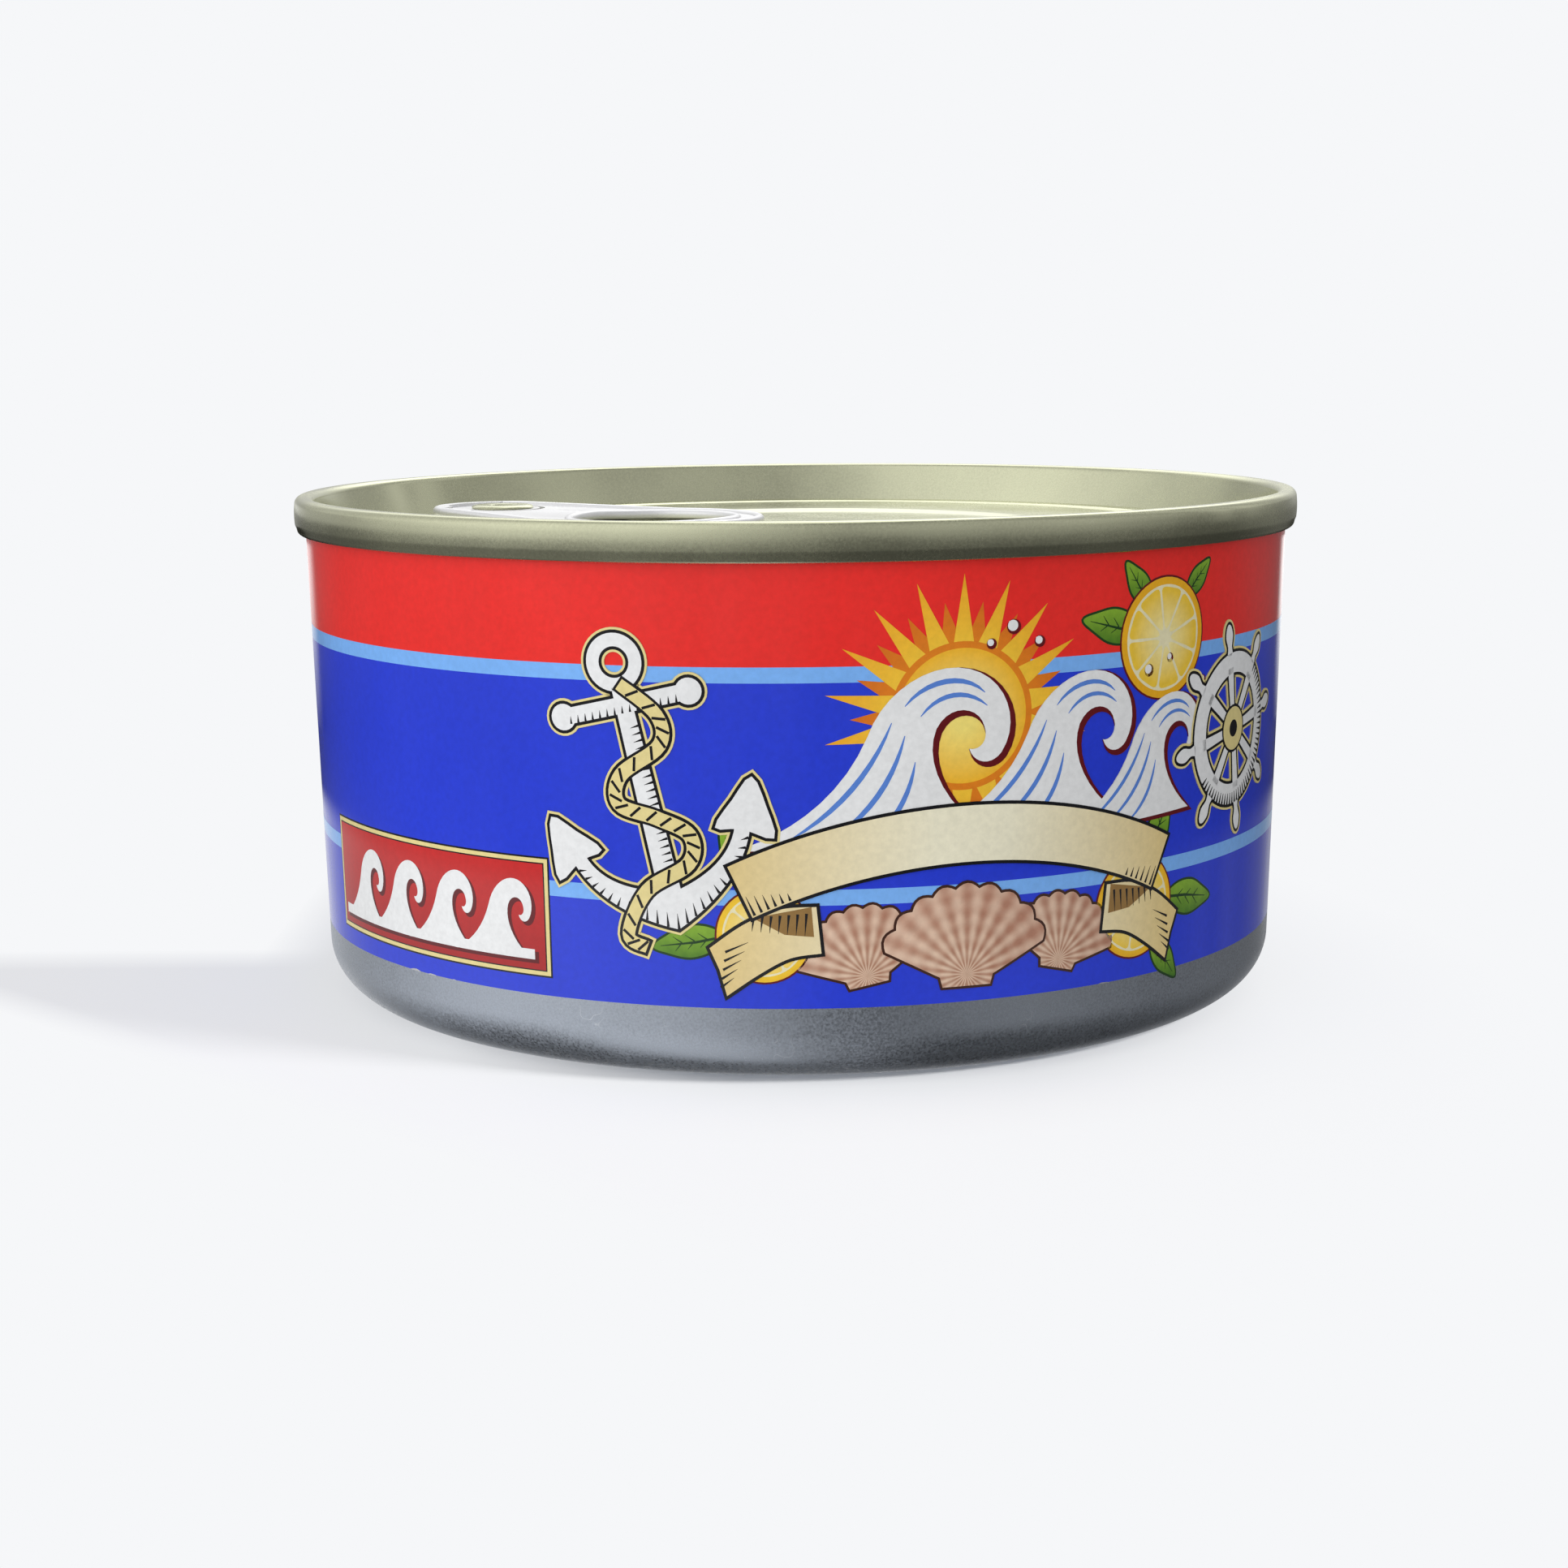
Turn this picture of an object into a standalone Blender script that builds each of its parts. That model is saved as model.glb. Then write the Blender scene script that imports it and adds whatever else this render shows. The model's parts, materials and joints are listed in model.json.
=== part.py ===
"""Shut round fish can with a ring-pull lid: a printed drawn cup, its seamed-on lid and the tab.

Blender script in metres, +Z up. The origin is the centre of the circle that the can stands on.
The front of the print faces -Y. Sizes are in millimetres and MM makes them metres.
"""

import math

import bmesh
import bpy

MM = 0.001

# Driving dimensions of the can
CAN_HEIGHT = 42.9
SEAM_RADIUS = 43.65
SEAM_HEIGHT = 2.75
SHEET = 0.25
FIT_GAP = 0.3
TURN_STEPS = 64

# The drawn cup
WALL_RADIUS_TOP = 42.7
WALL_RADIUS_FOOT = 41.85
FOOT_FILLET = 4.5
STAND_RING_WIDTH = 1.95
BASE_RECESS = 0.8
BASE_BEAD_RADIUS = 23.2
BASE_BEAD_RISE = 0.3
RIM_THICKNESS = 0.75
RIM_OVERLAP = 0.05

# The print on the cup's wall, as heights above the floor
PRINT_BOTTOM = 6.25
LOWER_STRIPE = (14.25, 15.45)
UPPER_STRIPE = (31.1, 32.3)

# The lid, as depths under the rim's top and radii
RIM_INNER_RADIUS = 42.0
RIM_ROUND = 0.6
SEAM_UPRIGHT_DEPTH = 1.5
SEAM_LEAN = 0.2
SEAM_EDGE_ROUND = 0.35
PANEL_DEPTH = 3.45
PANEL_EDGE_RADIUS = 39.45
PANEL_EDGE_ROUND = 0.4
GROOVE_DEPTH = 4.75
GROOVE_ROUND = 0.65
SCORE_RADIUS = 38.3
SCORE_DEPTH = 0.12
SCORE_HALF_WIDTH = 0.2
BEAD_RADII = (34.6, 37.2)
BEAD_DEPTH = 0.4
CENTRE_RADIUS = 23.6
CENTRE_DEPTH = 0.3
SLOPE_WIDTH = 0.6

# The ring-pull tab, along its own axis from the can's centre to its nose
TAB_AZIMUTH = math.radians(152.4)
TAB_THICKNESS = 0.9
TAB_EDGE_ROUND = 0.25
RING_CENTRE = 15.0
RING_RADIUS = 10.5
NOSE_CENTRE = 31.0
NOSE_RADIUS = 6.5
FINGER_HOLE_CENTRE = 14.6
FINGER_HOLE_HALF_LENGTH = 6.9
FINGER_HOLE_HALF_WIDTH = 7.3
RIVET_CENTRE = 31.0
RIVET_STEM_RADIUS = 1.6
RIVET_HEAD_RADIUS = 2.9
RIVET_HEAD_THICKNESS = 0.35
RIVET_HEAD_ROUND = 0.2
ISLAND_RADIUS = 4.2
WEB_THICKNESS = 0.3

PANEL_Z = CAN_HEIGHT - PANEL_DEPTH
TAB_BOTTOM_Z = PANEL_Z + FIT_GAP
WEB_TOP_Z = TAB_BOTTOM_Z + WEB_THICKNESS
SEAM_BOTTOM_Z = CAN_HEIGHT - SEAM_HEIGHT


def clear_scene():
    for obj in list(bpy.data.objects):
        bpy.data.objects.remove(obj, do_unlink=True)


def new_collection(name):
    collection = bpy.data.collections.new(name)
    bpy.context.scene.collection.children.link(collection)
    return collection


def arc(centre, radius, start, end, pieces):
    """Points on a circle from one angle to another, in degrees, both ends included."""
    angles = [math.radians(start + (end - start) * i / pieces) for i in range(pieces + 1)]
    return [(centre[0] + radius * math.cos(a), centre[1] + radius * math.sin(a)) for a in angles]


def turned_object(name, profile, collection, steps=TURN_STEPS):
    """A solid turned about Z from (radius, height) points that run down its outer side."""
    mesh = bpy.data.meshes.new(name)
    outline = bmesh.new()
    points = [outline.verts.new((radius * MM, 0.0, height * MM)) for radius, height in profile]
    for upper, lower in zip(points, points[1:]):
        outline.edges.new((upper, lower))
    outline.to_mesh(mesh)
    outline.free()
    obj = bpy.data.objects.new(name, mesh)
    collection.objects.link(obj)
    turn = obj.modifiers.new("Turn", "SCREW")
    turn.steps = steps
    turn.render_steps = steps
    turn.use_merge_vertices = True
    turn.merge_threshold = 0.00001
    turn.use_smooth_shade = True
    return obj


def underside(points, thickness):
    """The lower face of a pressed sheet whose upper face has these points, from the rim inwards."""
    lower = []
    for i, (radius, height) in enumerate(points):
        before = points[max(i - 1, 0)]
        after = points[min(i + 1, len(points) - 1)]
        along = (after[0] - before[0], after[1] - before[1])
        length = math.hypot(*along)
        normal = (along[1] / length, -along[0] / length)
        lower.append((max(radius + normal[0] * thickness, 0.0), height + normal[1] * thickness))
    lower[0] = (0.0, points[0][1] - thickness)
    return lower[::-1]


def cut_or_join(obj, other, operation):
    step = obj.modifiers.new(other.name, "BOOLEAN")
    step.operation = operation
    step.object = other
    step.solver = "EXACT"


def make_helper(obj):
    obj.hide_render = True
    obj.display_type = "WIRE"


def on_tab_axis(along):
    """A point on the tab's axis, as world x and y in metres."""
    return along * MM * math.cos(TAB_AZIMUTH), along * MM * math.sin(TAB_AZIMUTH)


def metal(name, colour, roughness, metallic):
    material = bpy.data.materials.new(name)
    material.use_nodes = True
    shader = material.node_tree.nodes["Principled BSDF"]
    shader.inputs["Base Color"].default_value = (*colour, 1.0)
    shader.inputs["Roughness"].default_value = roughness
    shader.inputs["Metallic"].default_value = metallic
    return material


def printed_steel(name):
    """Bare steel at the foot, and above it the print's bands of blue, light blue and red."""
    steel = (0.16, 0.17, 0.19)
    blue = (0.025, 0.035, 0.55)
    light_blue = (0.10, 0.33, 0.85)
    red = (0.72, 0.02, 0.02)
    bands = [
        (0.0, steel),
        (PRINT_BOTTOM, blue),
        (LOWER_STRIPE[0], light_blue),
        (LOWER_STRIPE[1], blue),
        (UPPER_STRIPE[0], light_blue),
        (UPPER_STRIPE[1], red),
    ]
    material = metal(name, steel, 0.3, 0.0)
    nodes = material.node_tree.nodes
    links = material.node_tree.links
    place = nodes.new("ShaderNodeTexCoord")
    parts = nodes.new("ShaderNodeSeparateXYZ")
    share = nodes.new("ShaderNodeMath")
    share.operation = "DIVIDE"
    share.inputs[1].default_value = CAN_HEIGHT * MM
    ramp = nodes.new("ShaderNodeValToRGB")
    ramp.color_ramp.interpolation = "CONSTANT"
    stops = ramp.color_ramp.elements
    stops.remove(stops[1])
    stops[0].color = (*steel, 1.0)
    for height, colour in bands[1:]:
        stops.new(height / CAN_HEIGHT).color = (*colour, 1.0)
    links.new(place.outputs["Object"], parts.inputs[0])
    links.new(parts.outputs["Z"], share.inputs[0])
    links.new(share.outputs[0], ramp.inputs["Fac"])
    links.new(ramp.outputs["Color"], nodes["Principled BSDF"].inputs["Base Color"])
    return material


def make_can_body(collection):
    """The cup and what fills it, as one solid. Its rim goes up into the slot of the lid's seam."""
    groove_room_z = CAN_HEIGHT - GROOVE_DEPTH - SHEET - FIT_GAP
    contents_z = PANEL_Z - BEAD_DEPTH - SHEET - FIT_GAP
    contents_radius = PANEL_EDGE_RADIUS - 2 * FIT_GAP
    rim_z = SEAM_BOTTOM_Z + RIM_OVERLAP
    rim_inner = WALL_RADIUS_TOP - RIM_THICKNESS
    fillet_centre = (WALL_RADIUS_FOOT - FOOT_FILLET, FOOT_FILLET)
    ring_inner = fillet_centre[0] - STAND_RING_WIDTH
    recess = arc((ring_inner, BASE_RECESS), BASE_RECESS, 270, 180, 3)
    profile = [
        (0.0, contents_z),
        (contents_radius, contents_z),
        (contents_radius, groove_room_z),
        (rim_inner - SLOPE_WIDTH, groove_room_z),
        (rim_inner, rim_z),
        (WALL_RADIUS_TOP, rim_z),
        (WALL_RADIUS_TOP, SEAM_BOTTOM_Z),
    ]
    profile += arc(fillet_centre, FOOT_FILLET, 0, -90, 8)
    profile += recess
    profile += [
        (BASE_BEAD_RADIUS + SLOPE_WIDTH, BASE_RECESS),
        (BASE_BEAD_RADIUS, BASE_RECESS + BASE_BEAD_RISE),
        (0.0, BASE_RECESS + BASE_BEAD_RISE),
    ]
    body = turned_object("can_body", profile, collection)
    body.data.materials.append(printed_steel("printed_steel"))
    return body


def lid_sheet():
    """The lid's upper face from the centre to the top of the wall inside the rim."""
    bead_z = PANEL_Z - BEAD_DEPTH
    groove_z = CAN_HEIGHT - GROOVE_DEPTH + GROOVE_ROUND
    groove_centre = (PANEL_EDGE_RADIUS + GROOVE_ROUND, groove_z)
    edge_centre = (PANEL_EDGE_RADIUS - PANEL_EDGE_ROUND, PANEL_Z - PANEL_EDGE_ROUND)
    return [
        (0.0, PANEL_Z - CENTRE_DEPTH),
        (CENTRE_RADIUS, PANEL_Z - CENTRE_DEPTH),
        (CENTRE_RADIUS + SLOPE_WIDTH, PANEL_Z),
        (BEAD_RADII[0], PANEL_Z),
        (BEAD_RADII[0] + SLOPE_WIDTH, bead_z),
        (BEAD_RADII[1] - SLOPE_WIDTH, bead_z),
        (BEAD_RADII[1], PANEL_Z),
        (SCORE_RADIUS - SCORE_HALF_WIDTH, PANEL_Z),
        (SCORE_RADIUS, PANEL_Z - SCORE_DEPTH),
        (SCORE_RADIUS + SCORE_HALF_WIDTH, PANEL_Z),
        *arc(edge_centre, PANEL_EDGE_ROUND, 90, 0, 3),
        *arc(groove_centre, GROOVE_ROUND, 180, 360, 6),
        (RIM_INNER_RADIUS, CAN_HEIGHT - RIM_ROUND),
    ]


def make_lid(collection, helpers):
    """The pressed lid: double seam, wall inside the rim, groove, scored panel and its own rivet."""
    slot_top_z = SEAM_BOTTOM_Z + RIM_OVERLAP + FIT_GAP
    skirt_inner = WALL_RADIUS_TOP + FIT_GAP
    sheet = lid_sheet()
    score_at = [i for i, point in enumerate(sheet) if point[0] == SCORE_RADIUS][0]
    unscored = sheet[: score_at - 1] + sheet[score_at + 2 :]
    wall_slope = (sheet[-1][0] - sheet[-2][0]) / (sheet[-1][1] - sheet[-2][1])
    slot_inner = sheet[-2][0] + (slot_top_z - sheet[-2][1]) * wall_slope + SHEET
    round_z = CAN_HEIGHT - RIM_ROUND
    profile = sheet[:-1]
    profile += arc((RIM_INNER_RADIUS + RIM_ROUND, round_z), RIM_ROUND, 180, 90, 4)
    profile += arc((SEAM_RADIUS - RIM_ROUND, round_z), RIM_ROUND, 90, 0, 4)
    profile += [
        (SEAM_RADIUS, CAN_HEIGHT - SEAM_UPRIGHT_DEPTH),
        (SEAM_RADIUS - SEAM_LEAN, SEAM_BOTTOM_Z + SEAM_EDGE_ROUND),
        (SEAM_RADIUS - SEAM_LEAN - SEAM_EDGE_ROUND / 2, SEAM_BOTTOM_Z),
        (skirt_inner, SEAM_BOTTOM_Z),
        (skirt_inner, slot_top_z),
        (slot_inner, slot_top_z),
    ]
    profile += underside(unscored[:-1], SHEET)
    lid = turned_object("lid", profile, collection)
    lid.data.materials.append(metal("gold_lacquer", (0.45, 0.42, 0.20), 0.3, 1.0))

    head_bottom_z = WEB_TOP_Z + FIT_GAP
    head_top_z = head_bottom_z + RIVET_HEAD_THICKNESS
    head_round_centre = (RIVET_HEAD_RADIUS - RIVET_HEAD_ROUND, head_top_z - RIVET_HEAD_ROUND)
    rivet_profile = [
        (0.0, head_top_z),
        *arc(head_round_centre, RIVET_HEAD_ROUND, 90, 0, 3),
        (RIVET_HEAD_RADIUS, head_bottom_z),
        (RIVET_STEM_RADIUS, head_bottom_z),
        (RIVET_STEM_RADIUS, PANEL_Z - SHEET / 2),
        (0.0, PANEL_Z - SHEET / 2),
    ]
    rivet = turned_object("rivet", rivet_profile, helpers, steps=24)
    rivet.location = (*on_tab_axis(RIVET_CENTRE), 0.0)
    make_helper(rivet)
    cut_or_join(lid, rivet, "UNION")
    return lid


def tab_outline():
    """Two circles joined by their common tangents: the finger ring's end and the nose."""
    tangent = math.degrees(math.acos((RING_RADIUS - NOSE_RADIUS) / (NOSE_CENTRE - RING_CENTRE)))
    nose = arc((NOSE_CENTRE, 0.0), NOSE_RADIUS, -tangent, tangent, 12)
    ring = arc((RING_CENTRE, 0.0), RING_RADIUS, tangent, 360 - tangent, 20)
    return nose + ring


def finger_hole():
    angles = [2 * math.pi * i / 24 for i in range(24)]
    return [
        (
            FINGER_HOLE_CENTRE + FINGER_HOLE_HALF_LENGTH * math.cos(a),
            FINGER_HOLE_HALF_WIDTH * math.sin(a),
        )
        for a in angles
    ]


def cutting_cylinder(name, radius, bottom_z, helpers):
    """A cutter that stands on the rivet's axis and reaches up past the rim."""
    profile = [(0.0, CAN_HEIGHT), (radius, CAN_HEIGHT), (radius, bottom_z), (0.0, bottom_z)]
    cutter = turned_object(name, profile, helpers, steps=24)
    cutter.location = (*on_tab_axis(RIVET_CENTRE), 0.0)
    make_helper(cutter)
    return cutter


def make_pull_tab(collection, helpers):
    """The tab: a rounded plate with a finger hole, and a thin web held by the lid's rivet."""
    flat = bpy.data.curves.new("tab_outline", "CURVE")
    flat.dimensions = "2D"
    flat.fill_mode = "BOTH"
    flat.extrude = (TAB_THICKNESS / 2 - TAB_EDGE_ROUND) * MM
    flat.bevel_depth = TAB_EDGE_ROUND * MM
    flat.bevel_resolution = 1
    flat.offset = -TAB_EDGE_ROUND * MM
    for outline in (tab_outline(), finger_hole()):
        spline = flat.splines.new("POLY")
        spline.points.add(len(outline) - 1)
        spline.use_cyclic_u = True
        for point, (x, y) in zip(spline.points, outline):
            point.co = (x * MM, y * MM, 0.0, 1.0)
    guide = bpy.data.objects.new("tab_guide", flat)
    helpers.objects.link(guide)
    graph = bpy.context.evaluated_depsgraph_get()
    mesh = bpy.data.meshes.new_from_object(guide.evaluated_get(graph))
    bpy.data.objects.remove(guide, do_unlink=True)
    welded = bmesh.new()
    welded.from_mesh(mesh)
    bmesh.ops.remove_doubles(welded, verts=welded.verts, dist=0.00001)
    bmesh.ops.recalc_face_normals(welded, faces=welded.faces)
    welded.to_mesh(mesh)
    welded.free()
    mesh.shade_smooth()
    mesh.set_sharp_from_angle(angle=math.radians(30))
    mesh.name = "pull_tab"
    tab = bpy.data.objects.new("pull_tab", mesh)
    collection.objects.link(tab)
    tab.location = (0.0, 0.0, (TAB_BOTTOM_Z + TAB_THICKNESS / 2) * MM)
    tab.rotation_euler = (0.0, 0.0, TAB_AZIMUTH)
    mesh.materials.clear()
    mesh.materials.append(metal("bare_tinplate", (0.78, 0.78, 0.80), 0.25, 1.0))
    island = cutting_cylinder("island_cutter", ISLAND_RADIUS, WEB_TOP_Z, helpers)
    stem_hole = RIVET_STEM_RADIUS + FIT_GAP
    web_hole = cutting_cylinder("web_hole_cutter", stem_hole, PANEL_Z, helpers)
    cut_or_join(tab, island, "DIFFERENCE")
    cut_or_join(tab, web_hole, "DIFFERENCE")
    return tab


clear_scene()
can = new_collection("tuna_can")
cutters = new_collection("cutters")
centre = bpy.data.objects.new("can_centre", None)
can.objects.link(centre)
for piece in (make_can_body(can), make_lid(can, cutters), make_pull_tab(can, cutters)):
    piece.parent = centre
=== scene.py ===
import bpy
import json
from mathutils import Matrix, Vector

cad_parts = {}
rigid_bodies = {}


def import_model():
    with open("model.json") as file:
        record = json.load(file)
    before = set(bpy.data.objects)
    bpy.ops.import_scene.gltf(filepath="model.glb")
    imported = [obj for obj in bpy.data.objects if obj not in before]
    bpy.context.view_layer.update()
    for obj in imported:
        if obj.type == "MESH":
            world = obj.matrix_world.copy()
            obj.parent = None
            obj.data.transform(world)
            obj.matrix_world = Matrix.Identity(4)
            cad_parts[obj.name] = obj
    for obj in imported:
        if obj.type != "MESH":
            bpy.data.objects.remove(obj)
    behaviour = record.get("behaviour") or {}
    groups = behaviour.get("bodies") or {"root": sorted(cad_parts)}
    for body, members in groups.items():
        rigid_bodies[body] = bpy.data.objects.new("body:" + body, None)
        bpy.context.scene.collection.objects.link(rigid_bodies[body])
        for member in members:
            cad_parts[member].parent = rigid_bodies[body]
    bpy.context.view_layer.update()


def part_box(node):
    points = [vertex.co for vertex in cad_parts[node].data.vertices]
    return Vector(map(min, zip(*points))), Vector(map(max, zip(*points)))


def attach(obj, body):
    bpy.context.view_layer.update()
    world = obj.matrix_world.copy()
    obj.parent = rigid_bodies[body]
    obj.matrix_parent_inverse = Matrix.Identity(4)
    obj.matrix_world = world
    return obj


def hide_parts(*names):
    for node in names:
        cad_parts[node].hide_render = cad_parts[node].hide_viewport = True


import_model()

import json
import math

import bpy
from mathutils import Matrix, Vector
from mathutils.geometry import delaunay_2d_cdt

# The cup is one sheet of steel, drawn from a disc into a foot, a rounded corner and a wall that
# widens a little towards the top. It is filled and shut, so it is made here as one closed body.
# Its foot is left bare, a satin grey with the fine grain and rubs of rolled and drawn steel.
bpy.ops.object.select_all(action="DESELECT")
MM = 0.001
WALL_FLATS = 288
body_low, body_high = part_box("can_body")
lid_low, lid_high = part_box("lid")
can_height = lid_high.z / MM
seam_radius = lid_high.x / MM
wall_top_radius = body_high.x / MM
seam_bottom = can_height - 2.75
panel_height = can_height - 3.45
wall_foot_radius = wall_top_radius - 0.85
foot_fillet = 4.5
foot_radius = wall_foot_radius - foot_fillet
wall_lean = (wall_top_radius - wall_foot_radius) / (seam_bottom - foot_fillet)


def wall_radius(height):
    return wall_foot_radius + (height - foot_fillet) * wall_lean


def arc(centre, radius, start, end, pieces):
    """Points on a circle from one angle to another, in degrees, both ends included."""
    angles = [math.radians(start + (end - start) * i / pieces) for i in range(pieces + 1)]
    return [(centre[0] + radius * math.cos(a), centre[1] + radius * math.sin(a)) for a in angles]


def eased(start, end, pieces=6):
    """Points from one (radius, height) to another along a pressed step with two soft bends."""
    shares = [i / pieces for i in range(pieces + 1)]
    return [
        (
            start[0] + (end[0] - start[0]) * share,
            start[1] + (end[1] - start[1]) * (0.5 - 0.5 * math.cos(math.pi * share)),
        )
        for share in shares
    ]


def turn_up(name, profile, centre=(0.0, 0.0), flats=WALL_FLATS, soft_angle=38):
    """Draws a round piece up ring by ring through (radius, height) points in millimetres."""
    pin = 0.0002
    radius, height = max(profile[0][0], pin), profile[0][1]
    bpy.ops.mesh.primitive_circle_add(vertices=flats, radius=radius * MM, fill_type="NOTHING")
    piece = bpy.context.object
    piece.name = piece.data.name = name
    bpy.ops.object.mode_set(mode="EDIT")
    bpy.ops.transform.translate(value=(0.0, 0.0, height * MM))
    for next_radius, next_height in profile[1:]:
        next_radius = max(next_radius, pin)
        rise = (0.0, 0.0, (next_height - height) * MM)
        bpy.ops.mesh.extrude_region_move(TRANSFORM_OT_translate={"value": rise})
        growth = next_radius / radius
        bpy.ops.transform.resize(value=(growth, growth, 1.0), center_override=(0.0, 0.0, 0.0))
        radius, height = next_radius, next_height
    bpy.ops.mesh.select_all(action="SELECT")
    bpy.ops.mesh.remove_doubles(threshold=0.000001)
    bpy.ops.mesh.normals_make_consistent(inside=False)
    bpy.ops.transform.translate(value=(centre[0] * MM, centre[1] * MM, 0.0))
    bpy.ops.object.mode_set(mode="OBJECT")
    bpy.ops.object.shade_smooth_by_angle(angle=math.radians(soft_angle))
    bpy.ops.object.select_all(action="DESELECT")
    return piece


def cup_outline():
    base_height = 0.8
    bead_height = 1.1
    bead_radius = 23.5
    ring_inner = foot_radius - 1.95
    inside_radius = wall_top_radius - 0.75
    groove_room = can_height - 5.3
    contents_top = can_height - 4.45
    contents_radius = 38.85
    return [
        (0.0, bead_height),
        (8.0, bead_height),
        *eased((bead_radius - 0.8, bead_height), (bead_radius + 0.8, base_height)),
        *arc((ring_inner, base_height), base_height, 180, 270, 8),
        *arc((foot_radius, foot_fillet), foot_fillet, -90, 0, 24),
        (wall_radius(15.0), 15.0),
        (wall_radius(25.0), 25.0),
        (wall_top_radius, seam_bottom),
        (wall_top_radius, seam_bottom + 0.3),
        (inside_radius, seam_bottom + 0.3),
        (inside_radius - 0.6, groove_room),
        (contents_radius, groove_room),
        (contents_radius, contents_top),
        (0.0, contents_top),
    ]


def add_node(tree, kind, place=(0, 0), **settings):
    node = tree.nodes.new(kind)
    node.location = place
    for name, value in settings.items():
        setattr(node, name, value)
    return node


def feed(tree, target, source):
    """Sets a socket from a number, a colour or another node's output."""
    if isinstance(source, bpy.types.NodeSocket):
        tree.links.new(source, target)
    else:
        target.default_value = source


def maths(tree, operation, first, second=0.0, third=0.0, clamp=False):
    node = add_node(tree, "ShaderNodeMath", operation=operation, use_clamp=clamp)
    for socket, source in zip(node.inputs, (first, second, third)):
        feed(tree, socket, source)
    return node.outputs[0]


def spread_over(tree, value, low, high, to_low=0.0, to_high=1.0):
    node = add_node(tree, "ShaderNodeMapRange", clamp=True)
    for socket, source in zip(node.inputs, (value, low, high, to_low, to_high)):
        feed(tree, socket, source)
    return node.outputs[0]


def blend_colours(tree, share, first, second, way="MIX"):
    node = add_node(tree, "ShaderNodeMix", data_type="RGBA", blend_type=way)
    feed(tree, node.inputs["Factor"], share)
    feed(tree, node.inputs["A"], first)
    feed(tree, node.inputs["B"], second)
    return node.outputs["Result"]


def grain(tree, place, scale, detail=2.0, roughness=0.5, stretch=(1.0, 1.0, 1.0)):
    """Noise whose grains have a size of one metre over the scale, stretched along the axes."""
    mapping = add_node(tree, "ShaderNodeMapping")
    mapping.inputs["Scale"].default_value = stretch
    tree.links.new(place, mapping.inputs["Vector"])
    noise = add_node(tree, "ShaderNodeTexNoise")
    noise.inputs["Scale"].default_value = scale
    noise.inputs["Detail"].default_value = detail
    noise.inputs["Roughness"].default_value = roughness
    tree.links.new(mapping.outputs[0], noise.inputs["Vector"])
    return noise.outputs["Fac"]


def effect_group(name, inputs, outputs):
    """An empty node group with its sockets, the node that brings them in and the one that takes them out."""
    group = bpy.data.node_groups.new(name, "ShaderNodeTree")
    for socket, kind, value in inputs:
        made = group.interface.new_socket(name=socket, in_out="INPUT", socket_type=kind)
        made.default_value = value
    for socket, kind in outputs:
        group.interface.new_socket(name=socket, in_out="OUTPUT", socket_type=kind)
    return group, add_node(group, "NodeGroupInput"), add_node(group, "NodeGroupOutput")


def worked_metal_group():
    """Rolled sheet that has been pressed and handled: grain, dull cloudy patches, rubs and fine scratches."""
    group, given, taken = effect_group(
        "worked_metal",
        [
            ("Color", "NodeSocketColor", (0.5, 0.5, 0.5, 1.0)),
            ("Rubbed Color", "NodeSocketColor", (0.7, 0.7, 0.7, 1.0)),
            ("Roughness", "NodeSocketFloat", 0.3),
            ("Grain", "NodeSocketFloat", 0.5),
            ("Rubs", "NodeSocketFloat", 0.5),
        ],
        [
            ("Color", "NodeSocketColor"),
            ("Roughness", "NodeSocketFloat"),
            ("Height", "NodeSocketFloat"),
        ],
    )
    place = add_node(group, "ShaderNodeTexCoord").outputs["Object"]
    fine = grain(group, place, 5200.0, 3.0, 0.6)
    drawn = grain(group, place, 1500.0, 2.0, 0.6, (1.0, 1.0, 0.06))
    clouds = grain(group, place, 90.0, 3.0, 0.55)
    scratch_field = grain(group, place, 420.0, 1.0, 0.5, (1.0, 0.22, 0.9))
    off_centre = maths(group, "ABSOLUTE", maths(group, "SUBTRACT", scratch_field, 0.5))
    scratch = spread_over(group, off_centre, 0.0, 0.004, 1.0, 0.0)
    where = spread_over(group, grain(group, place, 160.0, 2.0, 0.5), 0.56, 0.66)
    rubs = maths(group, "MULTIPLY", maths(group, "MULTIPLY", scratch, where), given.outputs["Rubs"])
    speckle = spread_over(group, fine, 0.35, 0.65, -0.5, 0.5)
    speckle = maths(group, "MULTIPLY", speckle, given.outputs["Grain"])
    lightness = maths(group, "MULTIPLY_ADD", speckle, 0.35, 1.0)
    cloudy = spread_over(group, clouds, 0.3, 0.7, 0.93, 1.07)
    lightness = maths(group, "MULTIPLY", lightness, cloudy)
    tinted = add_node(group, "ShaderNodeVectorMath", operation="SCALE")
    feed(group, tinted.inputs[0], given.outputs["Color"])
    feed(group, tinted.inputs["Scale"], lightness)
    colour = blend_colours(group, rubs, tinted.outputs[0], given.outputs["Rubbed Color"])
    cloud_swing = maths(group, "SUBTRACT", clouds, 0.5)
    rough = maths(group, "MULTIPLY_ADD", cloud_swing, 0.25, given.outputs["Roughness"])
    rough = maths(group, "MULTIPLY_ADD", maths(group, "MULTIPLY", speckle, 0.25), 1.0, rough)
    rough = maths(group, "MULTIPLY_ADD", rubs, -0.08, rough, clamp=True)
    height = maths(group, "MULTIPLY_ADD", drawn, 0.5, maths(group, "MULTIPLY", fine, given.outputs["Grain"]))
    group.links.new(colour, taken.inputs["Color"])
    group.links.new(rough, taken.inputs["Roughness"])
    group.links.new(height, taken.inputs["Height"])
    return group


WORKED_METAL = worked_metal_group()


def new_material(name):
    material = bpy.data.materials.new(name)
    material.use_nodes = True
    tree = material.node_tree
    return material, tree, tree.nodes["Principled BSDF"]


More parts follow.
